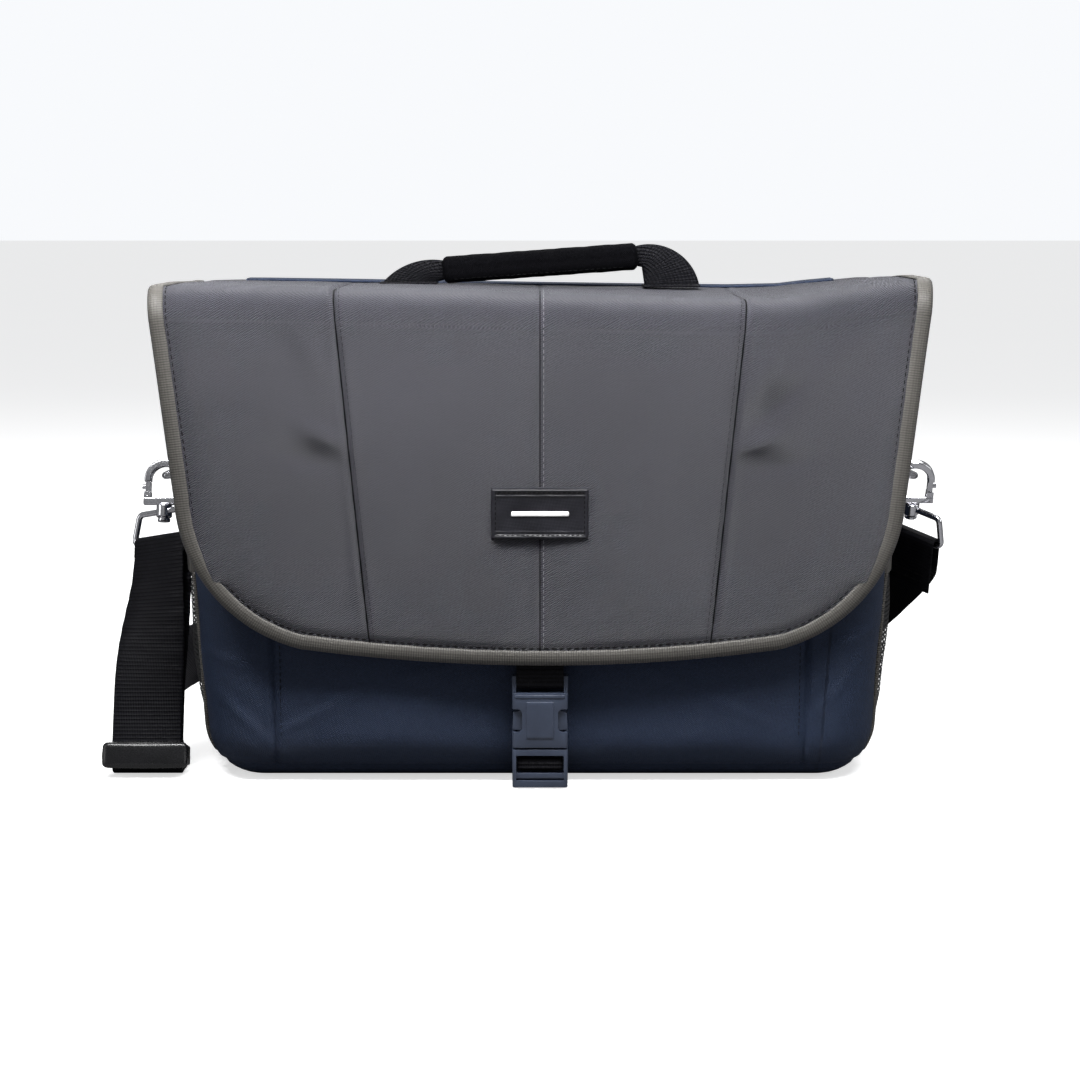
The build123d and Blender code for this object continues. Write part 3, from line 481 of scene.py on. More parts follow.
def bandGrid(stations, width, thick, ribPitch, ribHigh):
    # closed section rows of ribbed webbing along stations
    line, across = throughStations(stations)
    run = lengthsAlong(line)
    perRib = 4
    rows = max(8, int(run[-1] / ribPitch * perRib))
    spots = np.linspace(0, run[-1], rows)
    line = pickAt(spots, run, line)
    across = unit(pickAt(spots, run, across))
    ahead = unit(np.gradient(line, axis=0))
    across = unit(across - ahead * (across * ahead).sum(1, keepdims=True))
    up = np.cross(ahead, across)
    half, deep = width / 2, thick / 2
    rib = ribHigh * (np.abs(np.sin(math.pi * spots / ribPitch)) - 0.6)
    lower = [(-half, -0.3), (-half + 0.5, -1), (-half * 0.5, -1), (0, -1), (half * 0.5, -1), (half - 0.5, -1)]
    lower.append((half, -0.3))
    section = lower + [(a, -n) for a, n in lower[::-1]]
    lifts = [n * (deep + rib * (abs(n) == 1)) for a, n in section]
    grid = np.stack([line + across * a + up * lift[:, None] for (a, n), lift in zip(section, lifts)], 1)
    girth = [0.0]
    for (a, n), (nextA, nextN) in zip(section, section[1:]):
        girth.append(girth[-1] + math.hypot(nextA - a, (nextN - n) * deep))
    uv = np.stack([np.repeat(spots[:, None], len(section), 1), np.repeat(np.array(girth)[None, :], rows, 0)], 2)
    return grid, uv, run[-1]


def webbingPiece(name, stations, width, thick, body, ribPitch=2.1, ribHigh=0.22):
    grid, uv, length = bandGrid(stations, width, thick, ribPitch, ribHigh)
    rows, columns = grid.shape[:2]
    faces = gridFaces(rows, columns, True, flip=True)
    faces.append(tuple(range(columns)))
    faces.append(tuple(range((rows - 1) * columns, rows * columns))[::-1])
    piece = addPiece(name, grid.reshape(-1, 3), faces, "webbing", body, uv.reshape(-1, 2))
    return piece, length


def stitchLine(name, line, normals, body, length, pitch, radius, material="thread"):
    # small rounded thread stitches laid along a line on a surface
    line = np.asarray(line, float)
    normals = np.asarray(normals, float)
    run = lengthsAlong(line)
    points, faces, uvs = [], [], []
    sides, bodyRows = 6, ((-0.5, 0.35), (-0.42, 0.9), (0, 1.0), (0.42, 0.9), (0.5, 0.35))
    for i in range(int(run[-1] / pitch)):
        centre = (i + 0.5) * pitch
        first, last = pickAt([centre - length / 2, centre + length / 2], run, line)
        normal = unit(pickAt([centre], run, normals)[0])
        along = unit(last - first)
        side = np.cross(normal, along)
        start = len(points)
        for t, r in bodyRows:
            lift = radius * 0.35 - abs(t) * radius * 0.9
            middle = (first + last) / 2 + along * t * length + normal * lift
            for k in range(sides):
                a = 2 * math.pi * k / sides
                points.append(middle + (side * math.cos(a) + normal * math.sin(a)) * radius * r)
                uvs.append((t * length, a))
        faces += gridFaces(len(bodyRows), sides, True, start, True)
        faces.append(tuple(start + k for k in range(sides)))
        faces.append(tuple(start + (len(bodyRows) - 1) * sides + k for k in range(sides))[::-1])
    return addPiece(name, points, faces, material, body, uvs)


def roundedBlock(lo, hi, radius, n=14, bulge=0.0):
    # a box with rounded edges whose faces can swell
    lo, hi = np.array(lo, float), np.array(hi, float)
    half, middle = (hi - lo) / 2, (hi + lo) / 2
    r = min(radius, *(half * 0.98))
    points, faces, uvs = [], [], []
    t = np.sin(np.linspace(-math.pi / 2, math.pi / 2, n))
    for axis in range(3):
        others = [k for k in range(3) if k != axis]
        for sign in (-1, 1):
            start = len(points)
            for b in t:
                for a in t:
                    p = np.zeros(3)
                    p[axis] = sign * half[axis]
                    p[others[0]], p[others[1]] = a * half[others[0]], b * half[others[1]]
                    core = np.clip(p, -half + r, half - r)
                    way = p - core
                    q = core + way / max(np.linalg.norm(way), 1e-9) * r
                    q[axis] += sign * bulge * (1 - a * a) * (1 - b * b)
                    points.append(q + middle)
                    uvs.append((q[others[0]], q[others[1]]))
            faces += gridFaces(n, n, False, start, flip=(sign > 0) == (axis == 1))
    return points, faces, uvs


def weld(piece, distance=0.02):
    work = bmesh.new()
    work.from_mesh(piece.data)
    bmesh.ops.remove_doubles(work, verts=work.verts, dist=distance * mm)
    bmesh.ops.recalc_face_normals(work, faces=work.faces)
    work.to_mesh(piece.data)
    work.free()
    return piece


def blockPiece(name, lo, hi, radius, material, body, bulge=0.0, n=14, place=None):
    points, faces, uvs = roundedBlock(lo, hi, radius, n, bulge)
    if place is not None:
        points = [place @ Vector(p) for p in points]
    return weld(addPiece(name, points, faces, material, body, uvs))


def tubeAlong(name, line, radius, material, body, sides=10):
    line = evenly(line, max(12, int(runLength(line) / 0.9)))
    ahead = unit(np.gradient(line, axis=0))
    first = np.cross(ahead, [0.31, 0.52, 0.79])
    first = unit(first)
    second = np.cross(ahead, first)
    run = np.linspace(0, runLength(line), len(line))
    swell = radius * (1 + 0.06 * np.sin(run * 2 * math.pi / 1.8))
    angles = np.linspace(0, 2 * math.pi, sides, endpoint=False)
    grid = np.stack([line + swell[:, None] * (first * math.cos(a) + second * math.sin(a)) for a in angles], 1)
    uv = np.stack([np.repeat(run[:, None], sides, 1), np.repeat(angles[None, :] * radius, len(line), 0)], 2)
    faces = gridFaces(len(line), sides, True, flip=True)
    faces += [tuple(range(sides)), tuple(range((len(line) - 1) * sides, len(line) * sides))[::-1]]
    return addPiece(name, grid.reshape(-1, 3), faces, material, body, uv.reshape(-1, 2))


def nodeMm(node):
    low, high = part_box(node)
    return np.array(low) / mm, np.array(high) / mm


buildStage()
print("stage ready")


# body of the bag
bagCut = {"base": 180.0, "rim": 196.0, "high": 250.0, "depth": 76.0, "corner": 30.0, "turn": 26.0, "seam": 142.0,
          "wall": 8.0, "frontPuff": 3.2, "sidePuff": 3.0, "backPuff": 4.0, "columns": 620, "linerColumns": 420}
bodyCreases = [
    # middle, slant, length, height
    (-166, 68, -0.25, 12, 1.1), (166, 79, 0.35, 15, 1.3), (-118, 40, 0.5, 30, 0.6), (96, 46, -0.45, 36, 0.6),
    (-60, 62, 0.25, 30, 0.5), (158, 52, 0.9, 18, 0.7), (-160, 38, -0.8, 22, 0.7),
]


def alongCrease(x, z, cx, cz, slant):
    # how far each point lies along a crease and across it
    u = (x - cx) * math.cos(slant) + (z - cz) * math.sin(slant)
    v = -(x - cx) * math.sin(slant) + (z - cz) * math.cos(slant)
    return u, v


def halfWidth(z):
    return bagCut["base"] + (bagCut["rim"] - bagCut["base"]) * z / bagCut["high"]


def rimLoop(z, inset, count):
    # one level of the body: a rounded rectangle, with its outward directions
    hx, hy = halfWidth(z) - inset, bagCut["depth"] - inset
    r = max(bagCut["corner"] - inset, 6)
    lines, ways = [], []
    for (sx, sy), turn in zip(((1, -1), (1, 1), (-1, 1), (-1, -1)), (-90, 0, 90, 180)):
        a = np.radians(turn + np.linspace(0, 90, 24))
        lines.append(np.stack([sx * (hx - r) + r * np.cos(a), sy * (hy - r) + r * np.sin(a)], 1))
        ways.append(np.stack([np.cos(a), np.sin(a)], 1))
    line = np.concatenate(lines + [lines[0][:1]])
    way = np.concatenate(ways + [ways[0][:1]])
    run = lengthsAlong(line)
    spots = np.linspace(0, run[-1], count, endpoint=False)
    place = pickAt(spots, run, line)
    out = unit(pickAt(spots, run, way))
    return np.concatenate([place, np.full((count, 1), z)], 1), np.concatenate([out, np.zeros((count, 1))], 1)


def bodyLevels(inset, count, top, rows=110):
    turn = max(bagCut["turn"] - inset, 8)
    points, ways = [], []
    for t in (0.0, 0.35, 0.7):
        place, way = rimLoop(inset, inset + turn + 34 * (1 - t), count)
        points.append(place)
        ways.append(np.tile([0, 0, -1.0], (count, 1)))
    for a in np.radians(np.linspace(0, 90, 14)):
        z = inset + turn * (1 - math.cos(a))
        place, way = rimLoop(z, inset + turn * (1 - math.sin(a)), count)
        points.append(place)
        ways.append(unit(way * math.sin(a) + np.array([0, 0, -math.cos(a)])))
    for z in np.linspace(inset + turn, top, rows)[1:]:
        place, way = rimLoop(z, inset, count)
        points.append(place)
        ways.append(way)
    return np.stack(points), np.stack(ways)


def bodySwell(points, ways):
    # how far the cloth stands out from its flat pattern: full panels, pulled in at seams, with a few creases
    x, y, z = points[..., 0], points[..., 1], points[..., 2]
    wall = smoothStep(z, 6, 30) * (1 - smoothStep(z, 236, 250))
    front = np.clip(-ways[..., 1], 0, 1)
    back = np.clip(ways[..., 1], 0, 1)
    side = np.abs(ways[..., 0])
    across = np.clip(1 - (np.abs(x) / bagCut["seam"]) ** 4, 0, 1)
    swell = front * wall * bagCut["frontPuff"] * across * (1 - 0.92 * bell(x, 0, 46))
    swell += back * wall * bagCut["backPuff"] * np.clip(1 - (np.abs(x) / 160) ** 4, 0, 1)
    sides = np.clip(1 - (np.abs(y) / 46) ** 4, 0, 1)
    swell += side * wall * bagCut["sidePuff"] * sides * (1 - smoothStep(z, 20, 150) * 0.7)
    corners = np.clip(-ways[..., 1], 0, 1) * (np.abs(x) > bagCut["seam"])
    swell += corners * wall * 1.6 * np.sin(np.clip((np.abs(x) - bagCut["seam"]) / 40, 0, 1) * math.pi)
    # seams
    upright = bell(np.abs(x), bagCut["seam"], 1.1) * front
    sideSeams = bell(np.abs(y), 46, 1.3) * side
    low = bell(z, 8.5, 1.2) * (z > 2)
    swell -= 1.5 * (upright + sideSeams) * (z > 8) + 0.9 * low
    swell += 0.45 * (bell(np.abs(x), bagCut["seam"] + 3.2, 1.8) * front + bell(z, 12.5, 1.8)) * (z > 6)
    # creases near the corners and soft unevenness
    for cx, cz, slant, long, high in bodyCreases:
        u, v = alongCrease(x, z, cx, cz, slant)
        swell += front * high * bell(u, 0, long) * (bell(v, 0, 2.6) - 0.6 * bell(v, 5, 3.2))
    rough = np.sin(x * 0.043 + z * 0.031 + 1.3) * np.sin(z * 0.071 - x * 0.017)
    rough += 0.5 * np.sin(x * 0.11 - z * 0.09 + y * 0.08)
    swell += 0.35 * rough * wall * (1 - 0.9 * bell(x, 0, 40) * front)
    return swell


def buildShell():
    count = bagCut["columns"]
    base, ways = bodyLevels(0, count, bagCut["high"])
    outer = base + ways * bodySwell(base, ways)[..., None]
    outer[..., 2] = np.maximum(outer[..., 2], 0.25)
    inner = base - ways * 1.4
    inner[..., 2] = np.maximum(inner[..., 2], 1.6)
    shell = sheetSolid("bodyShell", outer, inner, "bodyNylon", "shell", wrap=True)
    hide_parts("base_panel", "front_panel", "side_panel_left", "side_panel_right", "back_panel",
                "front_corner_panels", "front_foam", "back_foam", "side_foams", "base_foam", "base_board")
    # the floor inside the loop of the lowest row
    low = outer[0]
    addPiece("bodyFloor", low, [tuple(range(count))[::-1]], "bodyNylon", "shell", low[:, :2])


def buildLining():
    count = bagCut["linerColumns"]
    within, inWays = bodyLevels(bagCut["wall"] - 1.2, count, bagCut["high"] + 0.5, 60)
    x, z = within[..., 0], within[..., 2]
    soft = 0.5 * np.sin(x * 0.05 + z * 0.04) * smoothStep(z, 20, 60) * (1 - smoothStep(z, 225, 250))
    inside = within + inWays * (soft - 0.4)[..., None]
    outside = within + inWays * 1.0
    liner = sheetSolid("bodyLining", outside, inside, "lining", "shell", wrap=True)
    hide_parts("lining")
    addPiece("liningFloor", inside[0], [tuple(range(count))], "lining", "shell", inside[0][:, :2])


# binding over the rim: (out from its middle, up from the rim) round its section
rimCut = {"inset": 3.6, "pitch": 1.4, "high": 0.1,
          "section": [(4.6, -9), (5.0, -4), (5.2, -0.5), (4.2, 1.7), (1.5, 1.9), (-2, 1.9), (-4.5, 1.7), (-5.3, -0.5),
                      (-5.1, -4), (-4.8, -9)]}


def buildRimBinding():
    path, way = rimLoop(bagCut["high"], rimCut["inset"], 900)
    run = lengthsAlong(path)
    rib = rimCut["high"] * np.abs(np.sin(math.pi * run / rimCut["pitch"]))
    section = np.array(rimCut["section"], float)
    rows = [path + way * (a + math.copysign(1, a) * rib[:, None]) + np.array([0, 0, b]) for a, b in section]
    grid = np.stack(rows, 0)
    uv = np.stack([np.repeat(run[None, :], len(section), 0), np.repeat(section[:, :1], len(run), 1)], 2)
    faces = gridFaces(len(section), len(run), True)
    rim = addPiece("rimBinding", grid.reshape(-1, 3), faces, "edgeTape", "shell", uv.reshape(-1, 2))
    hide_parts("rim_tape")


def buildFrontStitches():
    # stitches beside the upright seams
    zs = np.linspace(26, 236, 60)
    away = np.tile([0, -1.0, 0], (60, 1))
    for side, label in ((-1, "Left"), (1, "Right")):
        x = side * (bagCut["seam"] - 3.4)
        line = np.stack([np.full(60, x), np.full(60, -bagCut["depth"] - 0.35), zs], 1)
        stitchLine("frontSeamStitch" + label, line, away, "shell", 2.4, 3.6, 0.2)


# node, body, swell
dividers = [("organizer_divider", "shell", 0.3), ("laptop_divider", "shell", 0.3), ("lens_divider", "shell", 0.36),
            ("cell_divider_left", "cell_left", 0.39), ("cell_divider_right", "cell_right", 0.39)]


def buildDividers():
    for node, body, bulge in dividers:
        lo, hi = nodeMm(node)
        if node in ("organizer_divider", "laptop_divider"):
            # they stand on the lining and between its rounded corners
            lo[2] += 14
            lo[0], hi[0] = lo[0] + 7, hi[0] - 7
        pad = blockPiece(node + ".padded", lo, hi, 2.6, "lining", body, bulge, 22)
        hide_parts(node)
        if body != "shell":
            # binding over the top edge
            low, high = (lo[0] - 0.7, lo[1] + 1, hi[2] - 9), (hi[0] + 0.7, hi[1] - 1, hi[2] + 0.8)
            blockPiece(node + ".binding", low, high, 2.4, "edgeTape", body, 0, 10)


# flap
flapCut = {"half": 203.0, "knee": (190.0, 155.0), "shoulder": (167.0, 101.0), "heel": (126.0, 77.0), "low": 68.5,
           "face": -91.0, "crown": 262.5, "fold": 18.0, "thick": 6.5, "tail": 66.0,
           "seamTop": 107.0, "seamLow": 90.0, "topRows": 80, "foldRows": 26, "frontRows": 190, "columns": 321}
topWave = ([-203, -150, -105, -50, 0, 60, 107, 135, 150, 185, 203],
           [4.2, 3.6, 2.4, 0.8, -0.6, -2.2, -3.0, -2.0, 1.2, 7.0, 8.0])
flapPuckers = [
    # middle, slant, length, width, height
    (116, 224, 1.15, 16, 6.5, 3.0), (125, 209, 0.75, 17, 5.5, -2.4), (112, 186, 0.35, 14, 5.0, 2.8),
    (128, 175, 0.2, 18, 6, -2.0), (-112, 188, -0.4, 13, 5.5, 2.4), (-122, 177, -0.25, 17, 6, -1.7),
    (-118, 228, -1.1, 18, 7, 1.6), (160, 232, 0.55, 26, 8, 1.3), (-165, 236, -0.35, 24, 9, 0.9),
    (96, 150, 0.5, 15, 7, 0.7), (150, 130, 0.8, 26, 9, 0.8), (-150, 122, -0.8, 26, 9, 0.7),
    (-60, 160, 0.9, 40, 14, 0.5), (50, 120, -0.7, 44, 14, 0.5),
]


def topLift(x):
    # the top edge isn't level: it dips right of the handle and stands up at both corners
    return np.interp(x, *topWave) if np.isscalar(x) else np.interp(x.ravel(), *topWave).reshape(x.shape)


def flapOutline():
    foldY, foldZ = flapCut["face"] + flapCut["fold"], flapCut["crown"] - flapCut["fold"]
    knee, shoulder, heel = flapCut["knee"], flapCut["shoulder"], flapCut["heel"]
    sideX = flapCut["half"] + (knee[0] - flapCut["half"]) * flapCut["fold"] / (flapCut["crown"] - knee[1])
    turn = arcThrough(knee, shoulder, heel, 81)
    middle = int(np.argmin(np.linalg.norm(turn - np.array(shoulder), axis=1)))
    side = np.concatenate([[(sideX, foldZ)], turn[: middle + 1]])
    low = arcThrough(heel, (0, flapCut["low"]), (-heel[0], heel[1]), 161)
    mirror = turn[middle:][::-1] * np.array([-1, 1])
    bottom = np.concatenate([turn[middle:], low[1:-1], mirror])
    return foldY, foldZ, sideX, side, bottom


def flapGrid():
    foldY, foldZ, sideX, side, bottom = flapOutline()
    c = flapCut["columns"]
    t = np.linspace(-1, 1, c)
    rows = []
    for y in np.linspace(flapCut["tail"], foldY, flapCut["topRows"])[:-1]:
        rows.append(np.stack([t * flapCut["half"], np.full(c, y), np.full(c, flapCut["crown"])], 1))
    for a in np.radians(np.linspace(90, 180, flapCut["foldRows"])):
        share = (math.degrees(a) - 90) / 90
        half = flapCut["half"] + (sideX - flapCut["half"]) * share
        rows.append(np.stack([t * half, np.full(c, foldY + flapCut["fold"] * math.cos(a)),
                              np.full(c, foldZ + flapCut["fold"] * math.sin(a))], 1))
    right = evenly(side, flapCut["frontRows"])
    base = evenly(bottom[::-1], c)
    for i in range(1, flapCut["frontRows"]):
        r = i / (flapCut["frontRows"] - 1)
        x = r * base[:, 0] + t * (right[i, 0] - r * right[-1, 0])
        z = r * base[:, 1] + right[i, 1] - r * right[-1, 1]
        rows.append(np.stack([x, np.full(c, flapCut["face"]), z], 1))
    return np.stack(rows)


def seamX(z):
    # the slanted seams: further apart at the top
    return flapCut["seamLow"] + (flapCut["seamTop"] - flapCut["seamLow"]) * (z - 80) / 182.0


def flapSwell(grid, edge):
    x, y, z = grid[..., 0], grid[..., 1], grid[..., 2]
    on = smoothStep(-y, -58, -20)
    seam = seamX(np.minimum(z, flapCut["crown"]))
    sideGap = np.abs(x) - seam
    swell = -1.5 * bell(sideGap, 0, 1.2) * on + 0.6 * bell(sideGap, 3.6, 2.0) * on
    swell += 0.35 * bell(sideGap, -4, 2.6) * on
    swell += -1.0 * bell(x, 0, 0.95) * on + 0.3 * (bell(x, 3, 1.8) + bell(x, -3, 1.8)) * on
    middlePanel = np.clip(1 - ((np.abs(x) - 50) / 52) ** 2, 0, 1)
    outerPanel = np.clip(1 - ((np.abs(x) - 148) / 48) ** 2, 0, 1)
    face = smoothStep(-z, -262, -200)
    swell += 1.5 * (middlePanel + outerPanel) * (0.35 + 0.65 * face)
    # puckers and hollows beside the side seams, and broad waves
    for cx, cz, slant, long, wide, high in flapPuckers:
        u, v = alongCrease(x, z, cx, cz, slant)
        swell += high * bell(u, 0, long) * bell(v, 0, wide) * smoothStep(-y, 60, 90)
    swell += 0.3 * np.sin(x * 0.031 + z * 0.023) * np.sin(z * 0.037 - x * 0.013 + 0.7)
    swell += 0.12 * np.sin(x * 0.14 + z * 0.11) * np.sin(z * 0.16)
    # pressed thin where the edge tape holds it
    return swell * smoothStep(edge, 8, 19) - 0.95 * (1 - smoothStep(edge, 7.6, 12.5))


def flapSurfaces():
    grid = flapGrid()
    normal = gridNormals(grid)
    if normal[5, 160, 2] < 0:
        normal = -normal
    c = grid.shape[1]
    spacing = np.linalg.norm(grid[:, 1] - grid[:, 0], axis=1)
    edge = np.minimum(np.arange(c), np.arange(c)[::-1])[None, :] * spacing[:, None]
    foot = evenly(flapOutline()[4], 400)
    fromLow = np.min(np.linalg.norm(grid[-70:, :, None, [0, 2]] - foot[None, None], axis=3), axis=2)
    edge[-70:] = np.minimum(edge[-70:], fromLow)  # only the lowest rows come near the bottom edge
    swell = flapSwell(grid, edge)
    outer = grid + normal * swell[..., None]
    inner = grid - normal * (flapCut["thick"] - 0.25 * swell)[..., None]
    for surface in (outer, inner):
        weight = smoothStep(grid[..., 2], 150, 244) * (0.55 + 0.45 * smoothStep(-grid[..., 1], -60, 40))
        surface[..., 2] += topLift(grid[..., 0]) * weight
        hang = smoothStep(-grid[..., 2], -235, -110)
        surface[..., 1] -= 0.96 * hang * np.sin(grid[..., 0] * 0.021 + 0.6)
    return outer, inner


def rideFlap(piece):
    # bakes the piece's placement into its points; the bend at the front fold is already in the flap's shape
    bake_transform(piece)


def buildFlapCloth(outer, inner):
    middle = outer.shape[1] // 2
    run = lengthsAlong(outer[:, middle])
    bend = flapCut["topRows"] + flapCut["foldRows"] - 2
    down = np.repeat(run[:, None], outer.shape[1], 1)
    down[bend:] = run[bend] + outer[bend, middle, 2] - outer[bend:, :, 2]
    flatUv = np.stack([outer[..., 0], down], 2)
    cover = sheetSolid("flapCloth", outer, inner, "flapTwill", None, flatUv=flatUv)
    rideFlap(cover)
    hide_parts("flap_front_cover", "flap_front_foam", "flap_front_lining", "flap_top_cover", "flap_top_foam",
                "flap_top_lining", "flap_bend")
    # a grey ply over the inner face
    skin = inner[2:-3, 4:-4]
    away = gridNormals(skin)
    if away[-1, skin.shape[1] // 2, 1] < 0:
        away = -away
    ply = sheetSolid("flapInnerPly", skin + away * 0.25, skin - away * 0.2, "lining", None)
    rideFlap(ply)


# width, thickness, and the ribs' spacing and height; "from" is where it starts on the flap's top
tapeCut = {"wide": 7.4, "thick": 0.9, "pitch": 1.3, "high": 0.26, "from": 62}


def tapeSection():
    # (in from the edge, share of the cloth's thickness, out from the cloth) round half of the tape
    wide, thick = tapeCut["wide"], tapeCut["thick"]
    upper = [(wide, 0.5, 0.0), (wide - 0.3, 0.5, thick * 0.8), (wide * 0.6, 0.5, thick), (2.4, 0.5, thick),
             (0.4, 0.42, thick * 0.9), (-0.7, 0.22, thick * 0.6)]
    return upper + [(-0.95, 0, 0)] + [(a, -share, -extra) for a, share, extra in upper[::-1]]


def buildFlapTape(outer, inner):
    rows, columns = outer.shape[:2]
    tops = np.linspace(flapCut["tail"], flapCut["face"] + flapCut["fold"], flapCut["topRows"])
    keep = int(np.argmin(np.abs(tops - tapeCut["from"])))
    index = [(r, columns - 1) for r in range(keep, rows)]
    index += [(rows - 1, c) for c in range(columns - 2, 0, -1)]
    index += [(r, 0) for r in range(rows - 1, keep - 1, -1)]
    front = np.array([outer[r, c] for r, c in index])
    back = np.array([inner[r, c] for r, c in index])
    run = lengthsAlong(front)
    at = np.linspace(0, run[-1], int(runLength(front) / tapeCut["pitch"] * 4))
    front, back = pickAt(at, run, front), pickAt(at, run, back)
    # its direction is smoothed, so that it lies evenly round the corners
    kernel = np.ones(41) / 41
    ahead = np.gradient(front, axis=0)
    padded = np.pad(ahead, ((20, 20), (0, 0)), mode="edge")
    ahead = unit(np.stack([np.convolve(padded[:, k], kernel, "valid") for k in range(3)], 1))
    up = unit(front - back)
    up = unit(up - ahead * (up * ahead).sum(1, keepdims=True))
    inward = np.cross(up, ahead)
    if inward[5, 0] > 0:
        inward = -inward
    gap = np.linalg.norm(front - back, axis=1)
    middle = (front + back) / 2
    rib = tapeCut["high"] * (np.abs(np.sin(math.pi * at / tapeCut["pitch"])) - 0.5)
    jitter = 0.12 * np.sin(at * 0.37) * np.sin(at * 0.113 + 1)
    bands = []
    for a, share, extra in tapeSection():
        rise = gap * share + extra + rib * np.sign(extra)
        bands.append(middle + inward * (a + jitter * (a > 5))[:, None] + up * rise[:, None])
    grid = np.stack(bands, 1)
    count = grid.shape[1]
    uv = np.stack([np.repeat(at[:, None], count, 1), np.repeat(np.arange(count)[None, :] * 1.3, len(at), 0)], 2)
    faces = gridFaces(len(at), count)
    tape = addPiece("flapEdgeTape", grid.reshape(-1, 3), faces, "edgeTape", None, uv.reshape(-1, 2))
    rideFlap(tape)
    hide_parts("flap_front_tape", "flap_top_tape")
    line = middle + inward * (tapeCut["wide"] + 1.3) + up * (gap / 2 + 0.05)[:, None]
    rideFlap(stitchLine("flapTapeStitches", line[::8], up[::8], None, 2.7, 4.0, 0.33))


def buildFlapSeams(outer):
    rows, middle = outer.shape[0], outer.shape[1] // 2
    normal = gridNormals(outer)
    normal = normal if normal[5, middle, 2] > 0 else -normal

    def surfaceLine(xOf):
        # a line down the flap's face, with how far across given by height
        line, ups = [], []
        for r in range(flapCut["topRows"] - 30, rows - 9, 2):
            want = xOf(min(outer[r, middle, 2], flapCut["crown"]))
            c = int(np.argmin(np.abs(outer[r, :, 0] - want)))
            line.append(np.array([want, outer[r, c, 1], outer[r, c, 2]]))
            ups.append(normal[r, c])
        return np.array(line), np.array(ups)

    line, ups = surfaceLine(lambda z: 1.9)
    rideFlap(stitchLine("flapMiddleStitches", line, ups, None, 2.2, 3.3, 0.17, "paleThread"))
    # near-black tubes laid in the bottoms of the seam grooves and down the middle: painted shade along the seams
    creases = (("Left", lambda z: -seamX(z), 0.42), ("Right", seamX, 0.42), ("Middle", lambda z: 0.0, 0.3))
    for label, xOf, radius in creases:
        line, ups = surfaceLine(xOf)
        rideFlap(tubeAlong("flapSeamShade" + label, line + ups * 0.1, radius, "thread", None, 8))
    for side, label in ((-1, "Left"), (1, "Right")):
        line, ups = surfaceLine(lambda z: side * (seamX(z) - 2.6))
        rideFlap(stitchLine("flapSideStitches" + label, line, ups, None, 2.2, 3.4, 0.14))


# the ply's edge from the back panel up over on to the flap: how far back, how high
stripCut = {"half": 169, "columns": 160, "rows": 46,
            "profile": [(77.6, 214), (77.7, 236), (77.6, 249), (76.9, 255.5), (74.6, 260.3), (71.2, 262.9),
                        (64, 263.7), (50, 263.6), (47, 263.2)]}


def buildRearStrip():
    # one ply of cloth from the back panel over on to the flap's top
    rows, columns = stripCut["rows"], stripCut["columns"]
    xs = np.linspace(-stripCut["half"], stripCut["half"], columns)
    grid = np.empty((rows, columns, 3))
    for i, (y, z) in enumerate(evenly(stripCut["profile"], rows)):
        lift = topLift(xs * 0.98) * smoothStep(z, 248, 262) * 0.57
        soft = 0.8 * np.sin(xs * 0.033 + 0.5) * bell(z, 240, 12)
        grid[i] = np.stack([xs, y + soft, z + lift], 1)
    normal = gridNormals(grid)
    if normal[-2, columns // 2, 2] < 0:
        normal = -normal
    strip = sheetSolid("flapRearStrip", grid + normal * 0.55, grid - normal * 0.6, "bodyNylon", None)
    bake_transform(strip)
    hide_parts("flap_hinge_strip")
    stitchLine("rearStripStitches", grid[3] + normal[3] * 0.8, normal[3], "shell", 2.6, 3.9, 0.25)


patchCut = {"wide": 51.0, "high": 27.0, "columns": 140, "rows": 84, "stitchX": 23.2, "stitchZ": 11.2}


def buildPatch():
    lo, hi = nodeMm("flap_patch")
    wide, high = patchCut["wide"] / 2, patchCut["high"] / 2
    face, middle = hi[1] - 1.0, (lo[2] + hi[2]) / 2
    xs, zs = np.linspace(-wide, wide, patchCut["columns"]), np.linspace(-high, high, patchCut["rows"])
    x, z = np.meshgrid(xs, zs)
    fromEdge = np.minimum(wide - np.abs(x), high - np.abs(z))
    # a rolled rim, two fine ridges inside it, and the grain of the rubber
    rise = 1.9 * smoothStep(fromEdge, -0.2, 0.9) - 0.35 * smoothStep(fromEdge, 2.0, 3.0)
    rise += 0.5 * bell(fromEdge, 1.3, 0.8)
    rise += (0.45 * bell(z, high - 4.2, 0.55) + 0.3 * bell(z, -high + 4.0, 0.4)) * (fromEdge > 2.4)
    rise += 0.05 * np.sin(x * 2.1 + z * 1.3) * np.sin(x * 1.7 - z * 2.4)
    front = np.stack([x, face - rise, z + middle], 2)
    rear = np.stack([x, np.full_like(x, face + 1.2), z + middle], 2)
    patch = sheetSolid("flapPatch", front, rear, "rubber", "flap_face")
    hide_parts("flap_patch")
    sx, sz = patchCut["stitchX"], patchCut["stitchZ"]
    corners = [(-sx, -sz), (sx, -sz), (sx, sz), (-sx, sz), (-sx, -sz)]
    line = np.concatenate([evenly([a, b], 30) for a, b in zip(corners, corners[1:])])
    line = np.stack([line[:, 0], np.full(len(line), face - 1.95), line[:, 1] + middle], 1)
    away = np.tile([0, -1.0, 0], (len(line), 1))
    stitchLine("patchStitches", line, away, "flap_face", 1.7, 2.6, 0.22)
    lo, hi = nodeMm("patch_emblem")
    low, high = (lo[0], face - 2.25, lo[2]), (hi[0], face - 1.0, hi[2])
    mark = blockPiece("patchMark", low, high, 0.6, "mark", "flap_face", 0.05, 12)
    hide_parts("patch_emblem")


